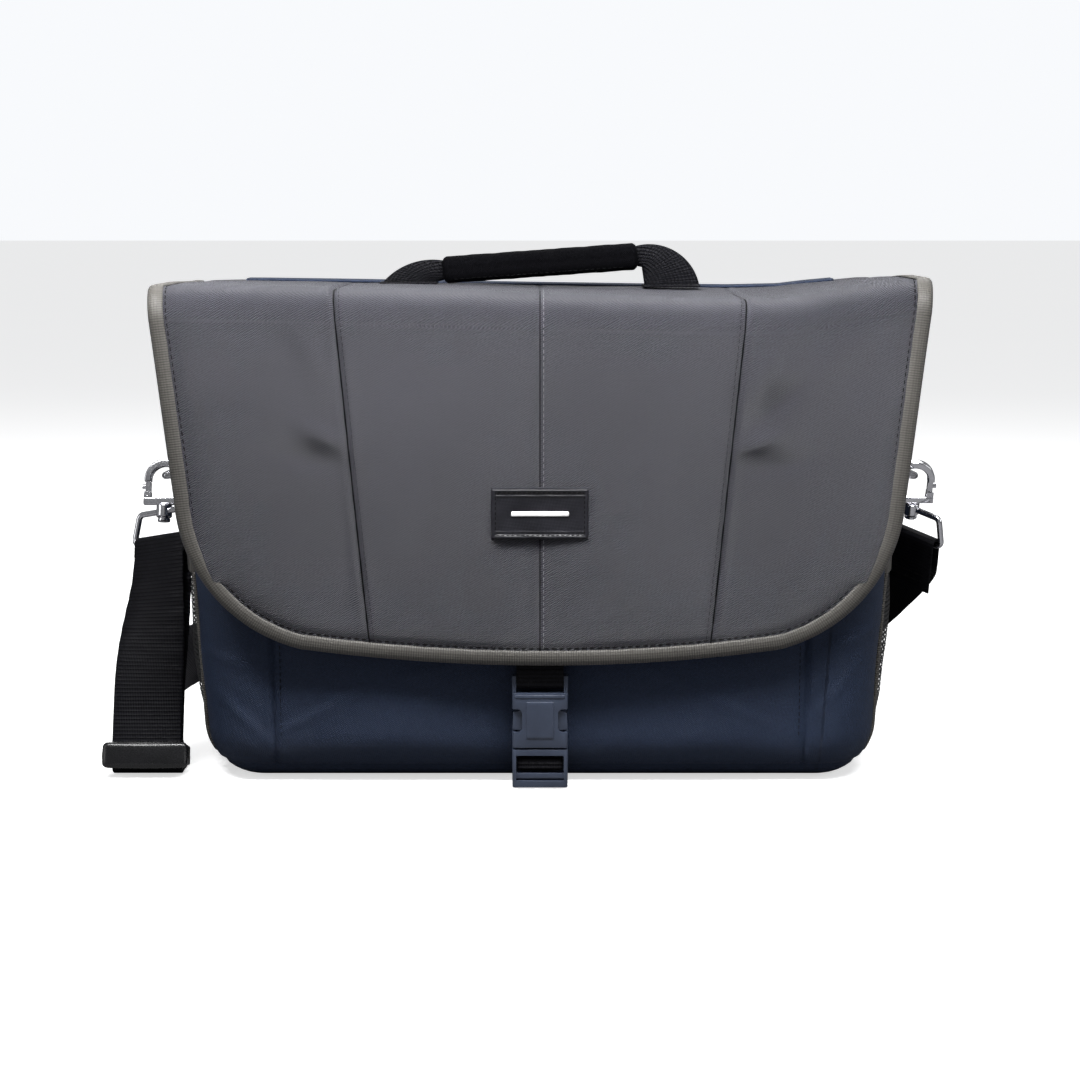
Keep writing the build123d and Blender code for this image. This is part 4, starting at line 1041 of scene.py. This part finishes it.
buildShell()
buildLining()
buildRimBinding()
buildFrontStitches()
print("body ready")
buildDividers()
flapOuter, flapInner = flapSurfaces()
buildFlapCloth(flapOuter, flapInner)
buildFlapTape(flapOuter, flapInner)
buildFlapSeams(flapOuter)
buildRearStrip()
buildPatch()
print("flap ready")


# side pockets
pocketCut = {"half": 44.0, "low": 12.0, "belly": 65.0, "top": 109.0, "bulge": 11.0, "mouth": 8.0, "band": 117.0,
             "flat": (0.0965, 0.1), "count": 90, "bandRows": 24, "bandColumns": 240, "piping": 1.3}


def pocketBulge(z):
    spots = [pocketCut["low"], 22, 40, pocketCut["belly"], 90, pocketCut["top"], pocketCut["band"]]
    rises = [2.6, 5.6, 9.2, pocketCut["bulge"] - 0.3, 10.2, pocketCut["mouth"] + 0.3, pocketCut["mouth"]]
    return np.interp(z, spots, rises)


def pocketGrid(side, low, high, rows, columns, inset):
    z, s = np.meshgrid(np.linspace(low, high, rows), np.linspace(-1, 1, columns), indexing="ij")
    half = pocketCut["half"] - 0.4 + 0.6 * np.sin(z * 0.06)
    rise = pocketBulge(z) * (1 - np.abs(s) ** 2.6) + 0.5 * np.sin(z * 0.11 + s * 3.0) * (1 - s * s)
    gather = 0.35 * np.sin(s * 46) * smoothStep(z, 84, 116)
    under = np.clip((bagCut["turn"] - z) / bagCut["turn"], 0, 1)
    tuck = bagCut["turn"] * (1 - np.sqrt(1 - under**2))
    x = halfWidth(z) - tuck + np.maximum(rise + gather * (1 - s**4), 0.9) - inset
    return np.stack([side * x, s * half * side, z], 2)


def buildPockets():
    count, radius = pocketCut["count"], pocketCut["piping"]
    bandSize = (pocketCut["top"] - 0.5, pocketCut["band"], pocketCut["bandRows"], pocketCut["bandColumns"])
    for side, label in ((1, "right"), (-1, "left")):
        grid = pocketGrid(side, pocketCut["low"], pocketCut["top"] + 1, count, count, 0)
        uv, faces = gridUv(grid).reshape(-1, 2), gridFaces(count, count)
        net = addPiece("meshPocket." + label, grid.reshape(-1, 3), faces, "net", "shell", uv)
        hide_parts("mesh_pocket_" + label)
        outer = pocketGrid(side, *bandSize, -0.8)
        outer[..., 0] += side * 0.22 * np.abs(np.sin(gridUv(outer)[..., 0] * math.pi / 1.5))
        inner = pocketGrid(side, *bandSize, 0.8)
        band = sheetSolid("pocketBand." + label, outer, inner, "edgeTape", "shell")
        if side > 0:
            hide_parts("pocket_bands")
        # piping down both sides of the pocket and along its foot
        out = np.array([side * 0.4, 0, 0])
        for end, line in (("Front", grid[:, 0]), ("Back", grid[:, -1]), ("Low", grid[0])):
            tubeAlong("pocketPiping." + label + end, line + out, radius, "edgeTape", "shell")


# hooks, rings and their webbing
hang = {"lean": 20.0, "turn": {1: -45.0, -1: 35.0}, "ringBar": 162.3, "ringLean": 75.0, "ringHigh": 16.5,
        "wire": 1.9, "eyeLow": -37.8, "ply": 3.15, "tab": 22.0}
hang["ringX"] = halfWidth(hang["ringBar"]) + 1.5 + 0.3 + hang["wire"] + 0.2
hang["wireX"] = hang["ringX"] + hang["ringHigh"] * math.sin(math.radians(hang["ringLean"]))
hang["wireZ"] = hang["ringBar"] - hang["ringHigh"] * math.cos(math.radians(hang["ringLean"]))


def fromEye(side, local):
    # a point in an eye's own frame, and the direction across it
    lean = Matrix.Rotation(math.radians(hang["lean"] * side), 3, "X")
    turn = lean @ Matrix.Rotation(math.radians(hang["turn"][side]), 3, "Z")
    point = turn @ Vector(local) + Vector((hang["wireX"], 0, hang["wireZ"]))
    way = turn @ Vector((side, 0, 0))
    return (side * point.x, point.y, point.z), (side * way.x, way.y, way.z)


def overBar(side, before, after):
    # webbing round the eye's lower bar: up one ply, over, and down the other
    ply, low = hang["ply"], hang["eyeLow"]
    points = [(0, -ply, low - z) for z in np.linspace(before, 0, max(3, int(before / 4)))]
    for a in np.radians(np.linspace(0, 180, 9))[1:-1]:
        points.append((0, -ply * math.cos(a), low + ply * math.sin(a)))
    points += [(0, ply, low - z) for z in np.linspace(0, after, max(3, int(after / 4)))]
    return [fromEye(side, point) for point in points]


def buildRingTabs():
    turn = hang["wire"] + 0.2 + 0.75
    slope = math.atan2(bagCut["rim"] - bagCut["base"], bagCut["high"])
    for side, label in ((1, "right"), (-1, "left")):
        profile = [(-turn, z) for z in (34, 28, 20, 12, 6, 0)]
        profile += [(turn * math.cos(a), turn * math.sin(a)) for a in np.radians(np.linspace(180, 360, 9))[1:-1]]
        profile += [(turn, 0), (turn, 4), (0.7, 9.5), (-turn + 1.6, 14), (-turn + 1.55, 22), (-turn + 1.55, 34)]
        stations = []
        for x, z in profile:
            px = hang["ringX"] + x * math.cos(slope) + z * math.sin(slope)
            pz = hang["ringBar"] + z * math.cos(slope) - x * math.sin(slope)
            stations.append(((side * px, 0, pz), (0, 1, 0)))
        tab = webbingPiece("ringTab." + label, stations, hang["tab"], 1.45, "shell")[0]
        if side > 0:
            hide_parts("ring_tabs")
        # box of stitches that sews the tab down
        px = hang["ringX"] + (-turn + 2.45) * math.cos(slope) + 24 * math.sin(slope)
        corners = [(-9, 17), (9, 17), (9, 31), (-9, 31), (-9, 17), (9, 31), (9, 17), (-9, 31)]
        line = np.concatenate([evenly([a, b], 12) for a, b in zip(corners, corners[1:])])
        out = side * (px + (line[:, 1] - 24) * math.tan(slope))
        place = np.stack([out, line[:, 0], hang["ringBar"] + line[:, 1]], 1)
        away = np.tile([side, 0, 0.0], (len(place), 1))
        stitchLine("ringTabStitches." + label, place, away, "shell", 1.9, 2.6, 0.25)


def bevelled(node, name, material, body, width):
    # the same piece with its moulded or cast edges rounded over
    source = bpy.data.objects[node]
    piece = source.copy()
    piece.data = source.data.copy()
    piece.parent = None
    piece.name = name
    piece.data.name = name
    piece.matrix_world = Matrix.Identity(4)
    for key in list(piece.keys()):
        del piece[key]
    bpy.context.collection.objects.link(piece)
    work = bmesh.new()
    work.from_mesh(piece.data)
    bmesh.ops.remove_doubles(work, verts=work.verts, dist=0.002 * mm)
    bmesh.ops.dissolve_limit(work, angle_limit=math.radians(2), verts=work.verts, edges=work.edges)
    sharp = [e for e in work.edges if len(e.link_faces) == 2 and e.calc_face_angle(0) > math.radians(30)]
    bmesh.ops.bevel(work, geom=sharp, offset=width * mm, segments=3, profile=0.5, affect="EDGES",
                    clamp_overlap=True)
    bmesh.ops.triangulate(work, faces=[f for f in work.faces if len(f.verts) > 4])
    work.to_mesh(piece.data)
    work.free()
    piece.data.polygons.foreach_set("use_smooth", [True] * len(piece.data.polygons))
    piece.data.set_sharp_from_angle(angle=math.radians(40))
    piece.data.materials.clear()
    piece.data.materials.append(paint[material])
    piece.hide_render = False
    piece.hide_viewport = False
    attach(piece, body)
    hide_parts(node)


def buildHardware():
    for label in ("left", "right"):
        for node in ("ring_" + label, "eye_" + label, "gate_pin_" + label):
            for slot in bpy.data.objects[node].material_slots:
                slot.material = paint["steel"]
        bevelled("hook_" + label, "snapHook." + label, "steel", "hook_" + label[0], 0.35)
        bevelled("gate_" + label, "snapGate." + label, "steel", "gate_" + label[0], 0.3)
    for node, name, body, width in (("buckle_female", "buckleFemale", "flap_face", 0.38),
                                    ("buckle_male", "buckleMale", "buckle_half", 0.38),
                                    ("buckle_arm_left", "buckleArm.left", "arm_left", 0.25),
                                    ("buckle_arm_right", "buckleArm.right", "arm_right", 0.25)):
        bevelled(node, name, "plastic", body, width)
    # a raised panel and a ridge on the buckle's face
    face = nodeMm("buckle_female")[0][1]
    blockPiece("bucklePanel", (-7.2, face - 0.45, 27.5), (7.2, face + 0.4, 47.5), 0.42, "plastic", "flap_face",
               0.05, 12)
    blockPiece("buckleRim", (-13.2, face - 0.35, 49.4), (13.2, face + 0.4, 51.2), 0.35, "plastic", "flap_face",
               0, 10)


# shoulder strap
strapCut = {"wide": 38.0, "thick": 1.6, "slider": (-214.5, -52.0, 14.5), "lean": 20.0, "floor": 1.05,
            "mid": 19.25,
            "rows": (224.0, 176.0, 128.0), "turns": (104.0, -60.0), "outer": 5.95, "bar": 3.9, "round": 2.05,
            "travel": 45.0, "twist": (94, 84, 74, 64, 54, 44, 34, 24)}


def sliderPlace(along, out=0.0):
    a = math.radians(strapCut["lean"])
    x, y, z = strapCut["slider"]
    return x, y + along * math.sin(a) - out * math.cos(a), z + along * math.cos(a) + out * math.sin(a)


def twisted(along, outTop, outLow, shift):
    # between the turned eye and the slider the plies twist back little by little
    share = float(smoothStep(along, 30, 107))
    turn = math.radians(hang["turn"][-1]) * share
    x, y, z = sliderPlace(along, outLow + (outTop - outLow) * share)
    lean = math.radians(strapCut["lean"])
    x += (shift - strapCut["slider"][0] - hang["wireX"]) * share
    return (x, y, z), (math.cos(turn), -math.sin(turn) * math.cos(lean), math.sin(turn) * math.sin(lean))


def halfTurn(x, y0, y1, way):
    # the strap doubles back on its edge
    middle, r = (y0 + y1) / 2, abs(y0 - y1) / 2
    return [((x + way * r * math.sin(a), middle + (y0 - middle) * math.cos(a), strapCut["mid"]), (0, 0, -1))
            for a in np.radians(np.linspace(0, 180, 13))]


def strapRoute():
    # from the left eye through the slider, over the floor, in three rows behind the bag, up to the right eye
    flat, onEdge = (1, 0, 0), (0, 0, -1)
    floorZ, mid = strapCut["floor"], strapCut["mid"]
    rowA, rowB, rowC = strapCut["rows"]
    rightX, leftX = strapCut["turns"]
    sliderX, sliderZ = strapCut["slider"][0], strapCut["slider"][2]
    foldY = sliderPlace((floorZ - sliderZ) / math.cos(math.radians(strapCut["lean"])))[1]
    route = overBar(-1, 8, 8)
    route += [twisted(a, -2.58, 0.0, 1.81) for a in strapCut["twist"]]
    route += [(sliderPlace(a), flat) for a in (14, 4, -6)]
    route += [((sliderX, foldY - 0.6, 3.4), flat), ((sliderX, foldY + 2.2, floorZ + 0.1), flat),
              ((sliderX, foldY + 8, floorZ), flat), ((sliderX, -38.0, floorZ), flat),
              ((-220.0, -12.0, floorZ), (1, 0.15, 0)), ((-226.5, 18, floorZ), (1, 0.17, 0)),
              ((-233.0, 50.0, floorZ), (1, 0.19, 0)), ((-240, 84, floorZ), (1, 0.17, 0)),
              ((-246.0, 118.0, floorZ + 0.1), (1, 0.16, 0)), ((-245.0, 162.0, 7.0), (0.94, 0, -0.33)),
              ((-227.0, 200.0, 15.8), (0.55, -0.2, -0.8)), ((-188.0, 222.0, mid + 0.2), (0.05, -0.05, -1))]
    route += [((x, rowA, mid), onEdge) for x in np.arange(-162, rightX - 6, 18)]
    route += halfTurn(rightX, rowA, rowB, 1)
    route += [((x, rowB, mid), onEdge) for x in np.arange(rightX - 18, leftX + 6, -18)]
    route += halfTurn(leftX, rowB, rowC, -1)
    route += [((x, rowC, mid), onEdge) for x in np.arange(leftX + 18, 124, 18)]
    route += [((124, rowC, mid), onEdge), ((158.0, 114.0, 31.0), (0.05, -0.15, -1)),
              ((190.0, 92.0, 60.0), (0.2, -0.3, -0.9)), ((207.0, 56.0, 88.0), (0.45, -0.55, -0.65)),
              fromEye(1, (0, hang["ply"], hang["eyeLow"] - 13))]
    return route + overBar(1, 30, 10)[::-1]


def buildStrap():
    wide, thick = strapCut["wide"], strapCut["thick"] - 0.25
    strap, length = webbingPiece("shoulderStrap", strapRoute(), wide, thick, "shell", 2.1, 0.26)
    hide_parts("strap_left_run", "strap_rear_run", "strap_right_end")
    print("shoulder strap length", round(length))
    # bar tacks through both plies below the right eye
    way = np.array(fromEye(1, (0, -1, 0))[0]) - np.array(fromEye(1, (0, 0, 0))[0])
    for k, drop in enumerate((20, 24)):
        front, low = -hang["ply"] - 0.85, hang["eyeLow"] - drop
        row = [fromEye(1, (x, front, low))[0] for x in np.linspace(-16, 16, 24)]
        stitchLine("strapTack.right" + str(k), row, np.tile(way, (24, 1)), "shell", 2.0, 2.5, 0.3)


def buildAdjuster():
    # the sewn ply in front, down to the slider and round its bar
    outer, bar, turn = strapCut["outer"], strapCut["bar"], strapCut["round"]
    flat = (1, 0, 0)
    route = [fromEye(-1, (0, -hang["ply"], hang["eyeLow"] - 8))]
    route += [twisted(a, 2.58, outer, -1.81) for a in strapCut["twist"]]
    route += [(sliderPlace(a, outer), flat) for a in (14, 4, -1.8)]
    for a in np.radians((35, 70, 110, 145)):
        route.append((sliderPlace(-1.8 - turn * math.sin(a), bar + turn * math.cos(a)), flat))
    route += [(sliderPlace(a, bar - turn), flat) for a in (-1.8, 3, 9)]
    wide, thick = strapCut["wide"] - 0.6, strapCut["thick"] - 0.25
    adjuster, short = webbingPiece("adjusterPly", route, wide, thick, "shell", 2.1, 0.26)
    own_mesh(adjuster)
    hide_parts("strap_adjuster")
    print("adjuster ply length", round(short))


padCut = {"edge": 4.6, "corner": 14, "swell": 0.8, "seam": 7, "seamCorner": 8}


def buildPad():
    lo, hi = nodeMm("shoulder_pad")
    pad = blockPiece("shoulderPad", lo, hi, padCut["edge"], "bodyNylon", "pad", padCut["swell"], 40)
    middleX, middleZ = (lo[0] + hi[0]) / 2, (lo[2] + hi[2]) / 2
    halfX, halfZ, r = (hi[0] - lo[0]) / 2, (hi[2] - lo[2]) / 2, padCut["corner"]
    for v in pad.data.vertices:
        # its four corners are drawn in to a round
        x, z = v.co.x / mm - middleX, v.co.z / mm - middleZ
        dx, dz = max(abs(x) - halfX + r, 0), max(abs(z) - halfZ + r, 0)
        away = math.hypot(dx, dz)
        if dx > 0 and dz > 0 and away > r:
            v.co.x += math.copysign(dx * (r / away - 1), x) * mm
            v.co.z += math.copysign(dz * (r / away - 1), z) * mm
    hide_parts("shoulder_pad")
    hx, hz, cut = halfX - padCut["seam"], halfZ - padCut["seam"], padCut["seamCorner"]
    ring = [(hx - cut, -hz), (hx, -hz + cut), (hx, hz - cut), (hx - cut, hz), (-hx + cut, hz), (-hx, hz - cut),
            (-hx, -hz + cut), (-hx + cut, -hz), (hx - cut, -hz)]
    line = np.concatenate([evenly([a, b], 40) for a, b in zip(ring, ring[1:])])
    for label, y, out in (("Back", hi[1] + 0.25, 1.0), ("Front", lo[1] - 0.25, -1.0)):
        place = np.stack([line[:, 0] + middleX, np.full(len(line), y), line[:, 1] + middleZ], 1)
        way = np.tile([0, out, 0], (len(place), 1))
        stitchLine("padStitches" + label, place, way, "pad", 2.6, 3.8, 0.3)


# a thick front bar and a rear bar, joined at both ends, with the raised bar that the sewn ply goes round:
# low corner, high corner, rounding, swell
sliderCut = {
    "Front": ((-22.8, -12.4, 7.1), (22.8, 1.4, 11.9), 2.35, 0.5),
    "Rear": ((-22.8, -9.8, -3.0), (22.8, -4.4, -1.2), 0.85, 0),
    "EndLeft": ((-22.8, -9.8, -2.6), (-19.9, 0.6, 8.6), 1.2, 0),
    "EndRight": ((19.9, -9.8, -2.6), (22.8, 0.6, 8.6), 1.2, 0),
    "Bar": ((-21.0, -1.7, 3.0), (21.0, 1.7, 4.9), 0.9, 0),
}


def buildSlider():
    lean = Matrix.Rotation(math.radians(90 - strapCut["lean"]), 4, "X")
    place = Matrix.Translation(strapCut["slider"]) @ lean
    for label, (lo, hi, radius, bulge) in sliderCut.items():
        block = blockPiece("strapSlider" + label, lo, hi, radius, "blackPlastic", "slider", bulge, 18,
                           place)
        if label == "Front":
            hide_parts("strap_slider")


# handle
handleCut = {"y": 25.0, "half": 56.0, "left": 271.5, "right": 279.5, "foot": (58.0, 90.0), "base": 266.0,
             "gripHigh": 7.6, "gripDeep": 7.2, "rows": 150, "around": 56, "fanRows": 220, "fanColumns": 9,
             "footWide": 22, "footThick": 1.3, "footSeam": 8.5}


def squared(c):
    # a circle's sine or cosine, pushed out towards a rounded square
    return np.sign(c) * np.abs(c) ** 0.72


def buildGrip():
    low, high, half = handleCut["left"], handleCut["right"], handleCut["half"]
    slope = math.atan2(high - low, 2 * half)
    rows, around = handleCut["rows"], handleCut["around"]
    grid = np.empty((rows, around, 3))
    t = np.linspace(0, 2 * math.pi, around, endpoint=False)
    for i, s in enumerate(np.linspace(-1, 1, rows)):
        size = 0.62 + 0.38 * min(1, (1 - abs(s)) * 22) ** 0.5
        wrinkle = 0.12 * math.sin(s * 17) * np.sin(t * 2 + s * 3) + 0.05 * np.sin(s * 41 + t * 3)
        a = handleCut["gripDeep"] * size * squared(np.cos(t)) + wrinkle * np.cos(t)
        b = handleCut["gripHigh"] * size * squared(np.sin(t)) + wrinkle * np.sin(t)
        x = s * (half - 1)
        grid[i, :, 0] = x * math.cos(slope) - b * math.sin(slope)
        grid[i, :, 1] = handleCut["y"] + a + 0.8 * bell(b, 0.5, 0.7) * (a < 0)  # the seam along its front
        grid[i, :, 2] = (low + high) / 2 + x * math.sin(slope) + b * math.cos(slope)
    faces = gridFaces(rows, around, True)
    faces += [tuple(range(around))[::-1], tuple(range((rows - 1) * around, rows * around))]
    uv = gridUv(np.concatenate([grid, grid[:, :1]], 1))[:, :around].reshape(-1, 2)
    grip = weld(addPiece("handleGrip", grid.reshape(-1, 3), faces, "gripNylon", "grab_handle", uv))
    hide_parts("handle_grip")
    seam = grid[8:rows - 8:3, around // 2 + 6]
    ups = unit(seam - grid[8:rows - 8:3].mean(1))
    line = seam + np.array([0, -0.15, 0])
    stitchLine("handleGripStitches", line, ups, "grab_handle", 2.2, 3.2, 0.22)


def buildHandleEnds():
    # webbing that fans out from each end of the grip down to its foot
    half, y, base = handleCut["half"], handleCut["y"], handleCut["base"]
    rows, columns = handleCut["fanRows"], handleCut["fanColumns"]
    footIn, footOut = handleCut["foot"]
    for side, mid, label in ((1, handleCut["right"], "right"), (-1, handleCut["left"], "left")):
        crest = (footIn + 24, mid - (mid - base) * 0.12)
        outerLine = evenly(arcThrough((half - 4, mid + 5), crest, (footOut, base - 2.6), 160), rows)
        innerLine = evenly([(half - 4, mid - 5), (half + 1.5, mid - 6.2), (footIn + 1, base - 2.6)], rows)
        run = np.linspace(0, runLength(outerLine), rows)
        rib = 0.26 * (np.abs(np.sin(math.pi * run / 2.1)) - 0.5)
        front, back = np.empty((rows, columns, 3)), np.empty((rows, columns, 3))
        for c, w in enumerate(np.linspace(0, 1, columns)):
            place = innerLine * (1 - w) + outerLine * w
            cup = 1.2 * math.sin(math.pi * w) * np.sin(np.linspace(0, math.pi, rows))
            front[:, c] = np.stack([side * place[:, 0], y - 1.2 - rib - cup, place[:, 1]], 1)
            back[:, c] = np.stack([side * place[:, 0], y + 1.2 + rib - cup, place[:, 1]], 1)
        fan = sheetSolid("handleWebbing." + label, front, back, "webbing", "grab_handle")
        weld(fan, 0.005)
        if side > 0:
            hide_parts("handle_webbing")
        buildHandleFoot(side, label)


def buildHandleFoot(side, label):
    # the foot, sewn to the flap's top
    y = handleCut["y"]
    x0, x1 = (side * x for x in handleCut["foot"])
    ground = flapCut["crown"] + float(topLift(side * 74.0)) * 0.68
    high = max(ground, flapCut["crown"] - 0.6) + 1.0
    stations = [((x, y, high), (0, 1, 0)) for x in np.linspace(x0, x1, 6)]
    wide, thick = handleCut["footWide"], handleCut["footThick"]
    foot = webbingPiece("handleFoot." + label, stations, wide, thick, "flap_lid")[0]
    if side > 0:
        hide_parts("handle_feet")
    for end, away in (("Front", -handleCut["footSeam"]), ("Back", handleCut["footSeam"])):
        row = [(x, y + away, high + 0.75) for x in np.linspace(x0 + side * 2, x1 - side * 2, 12)]
        up = np.tile([0, 0, 1.0], (12, 1))
        stitchLine("handleFootStitches." + label + end, row, up, "flap_lid", 1.8, 2.6, 0.28)


# buckle webbing
buckleCut = {"front": -86.6, "back": -77.6, "web": 25.0, "thick": 1.35, "sewn": -83.65,
             "upperBar": 57.0, "upperRound": 2.6, "lowerBar": 14.0, "lowerRound": 2.5}


def buildBuckleWebbing():
    mid = (buckleCut["front"] + buckleCut["back"]) / 2
    across = (1, 0, 0)
    turns = np.radians((30, 60, 90, 120, 150))
    sewn, bar, r = buckleCut["sewn"], buckleCut["upperBar"], buckleCut["upperRound"]
    profile = [(sewn, z) for z in (104, 94, 84, 76, 70)]
    profile += [(sewn - 0.3, 66), (mid - r, 63), (mid - r, 60), (mid - r, bar)]
    profile += [(mid - r * math.cos(a), bar - r * math.sin(a)) for a in turns]
    profile += [(mid + r, bar), (mid + r, 61), (mid + r - 0.2, 64.5), (sewn + 1.6, 68.5)]
    profile += [(sewn + 1.55, z) for z in (76, 90, 104)]
    stations = [((0, y, z), across) for y, z in profile]
    tab = webbingPiece("buckleTab", stations, buckleCut["web"], buckleCut["thick"], "flap_face", 2.0, 0.2)[0]
    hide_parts("buckle_tab")
    bar, r = buckleCut["lowerBar"], buckleCut["lowerRound"]
    profile = [(-70.6, 9.6), (-74, 9.6), (mid + r - 1.0, 9.7), (mid + r, 11), (mid + r, bar)]
    profile += [(mid + r * math.cos(a), bar + r * math.sin(a)) for a in turns]
    profile += [(mid - r, bar), (mid - r, 12.4), (mid - r, 10.6)]
    stations = [((0, y, z), across) for y, z in profile]
    web = webbingPiece("buckleWebbing", stations, buckleCut["web"] - 1, buckleCut["thick"], None, 2.0, 0.2)[0]
    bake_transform(web)
    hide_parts("buckle_webbing")


buildPockets()
print("pockets ready")
buildRingTabs()
buildHardware()
print("hardware ready")
buildStrap()
buildAdjuster()
buildPad()
buildSlider()
print("strap ready")
buildGrip()
buildHandleEnds()
buildBuckleWebbing()
print("handle and buckle ready")
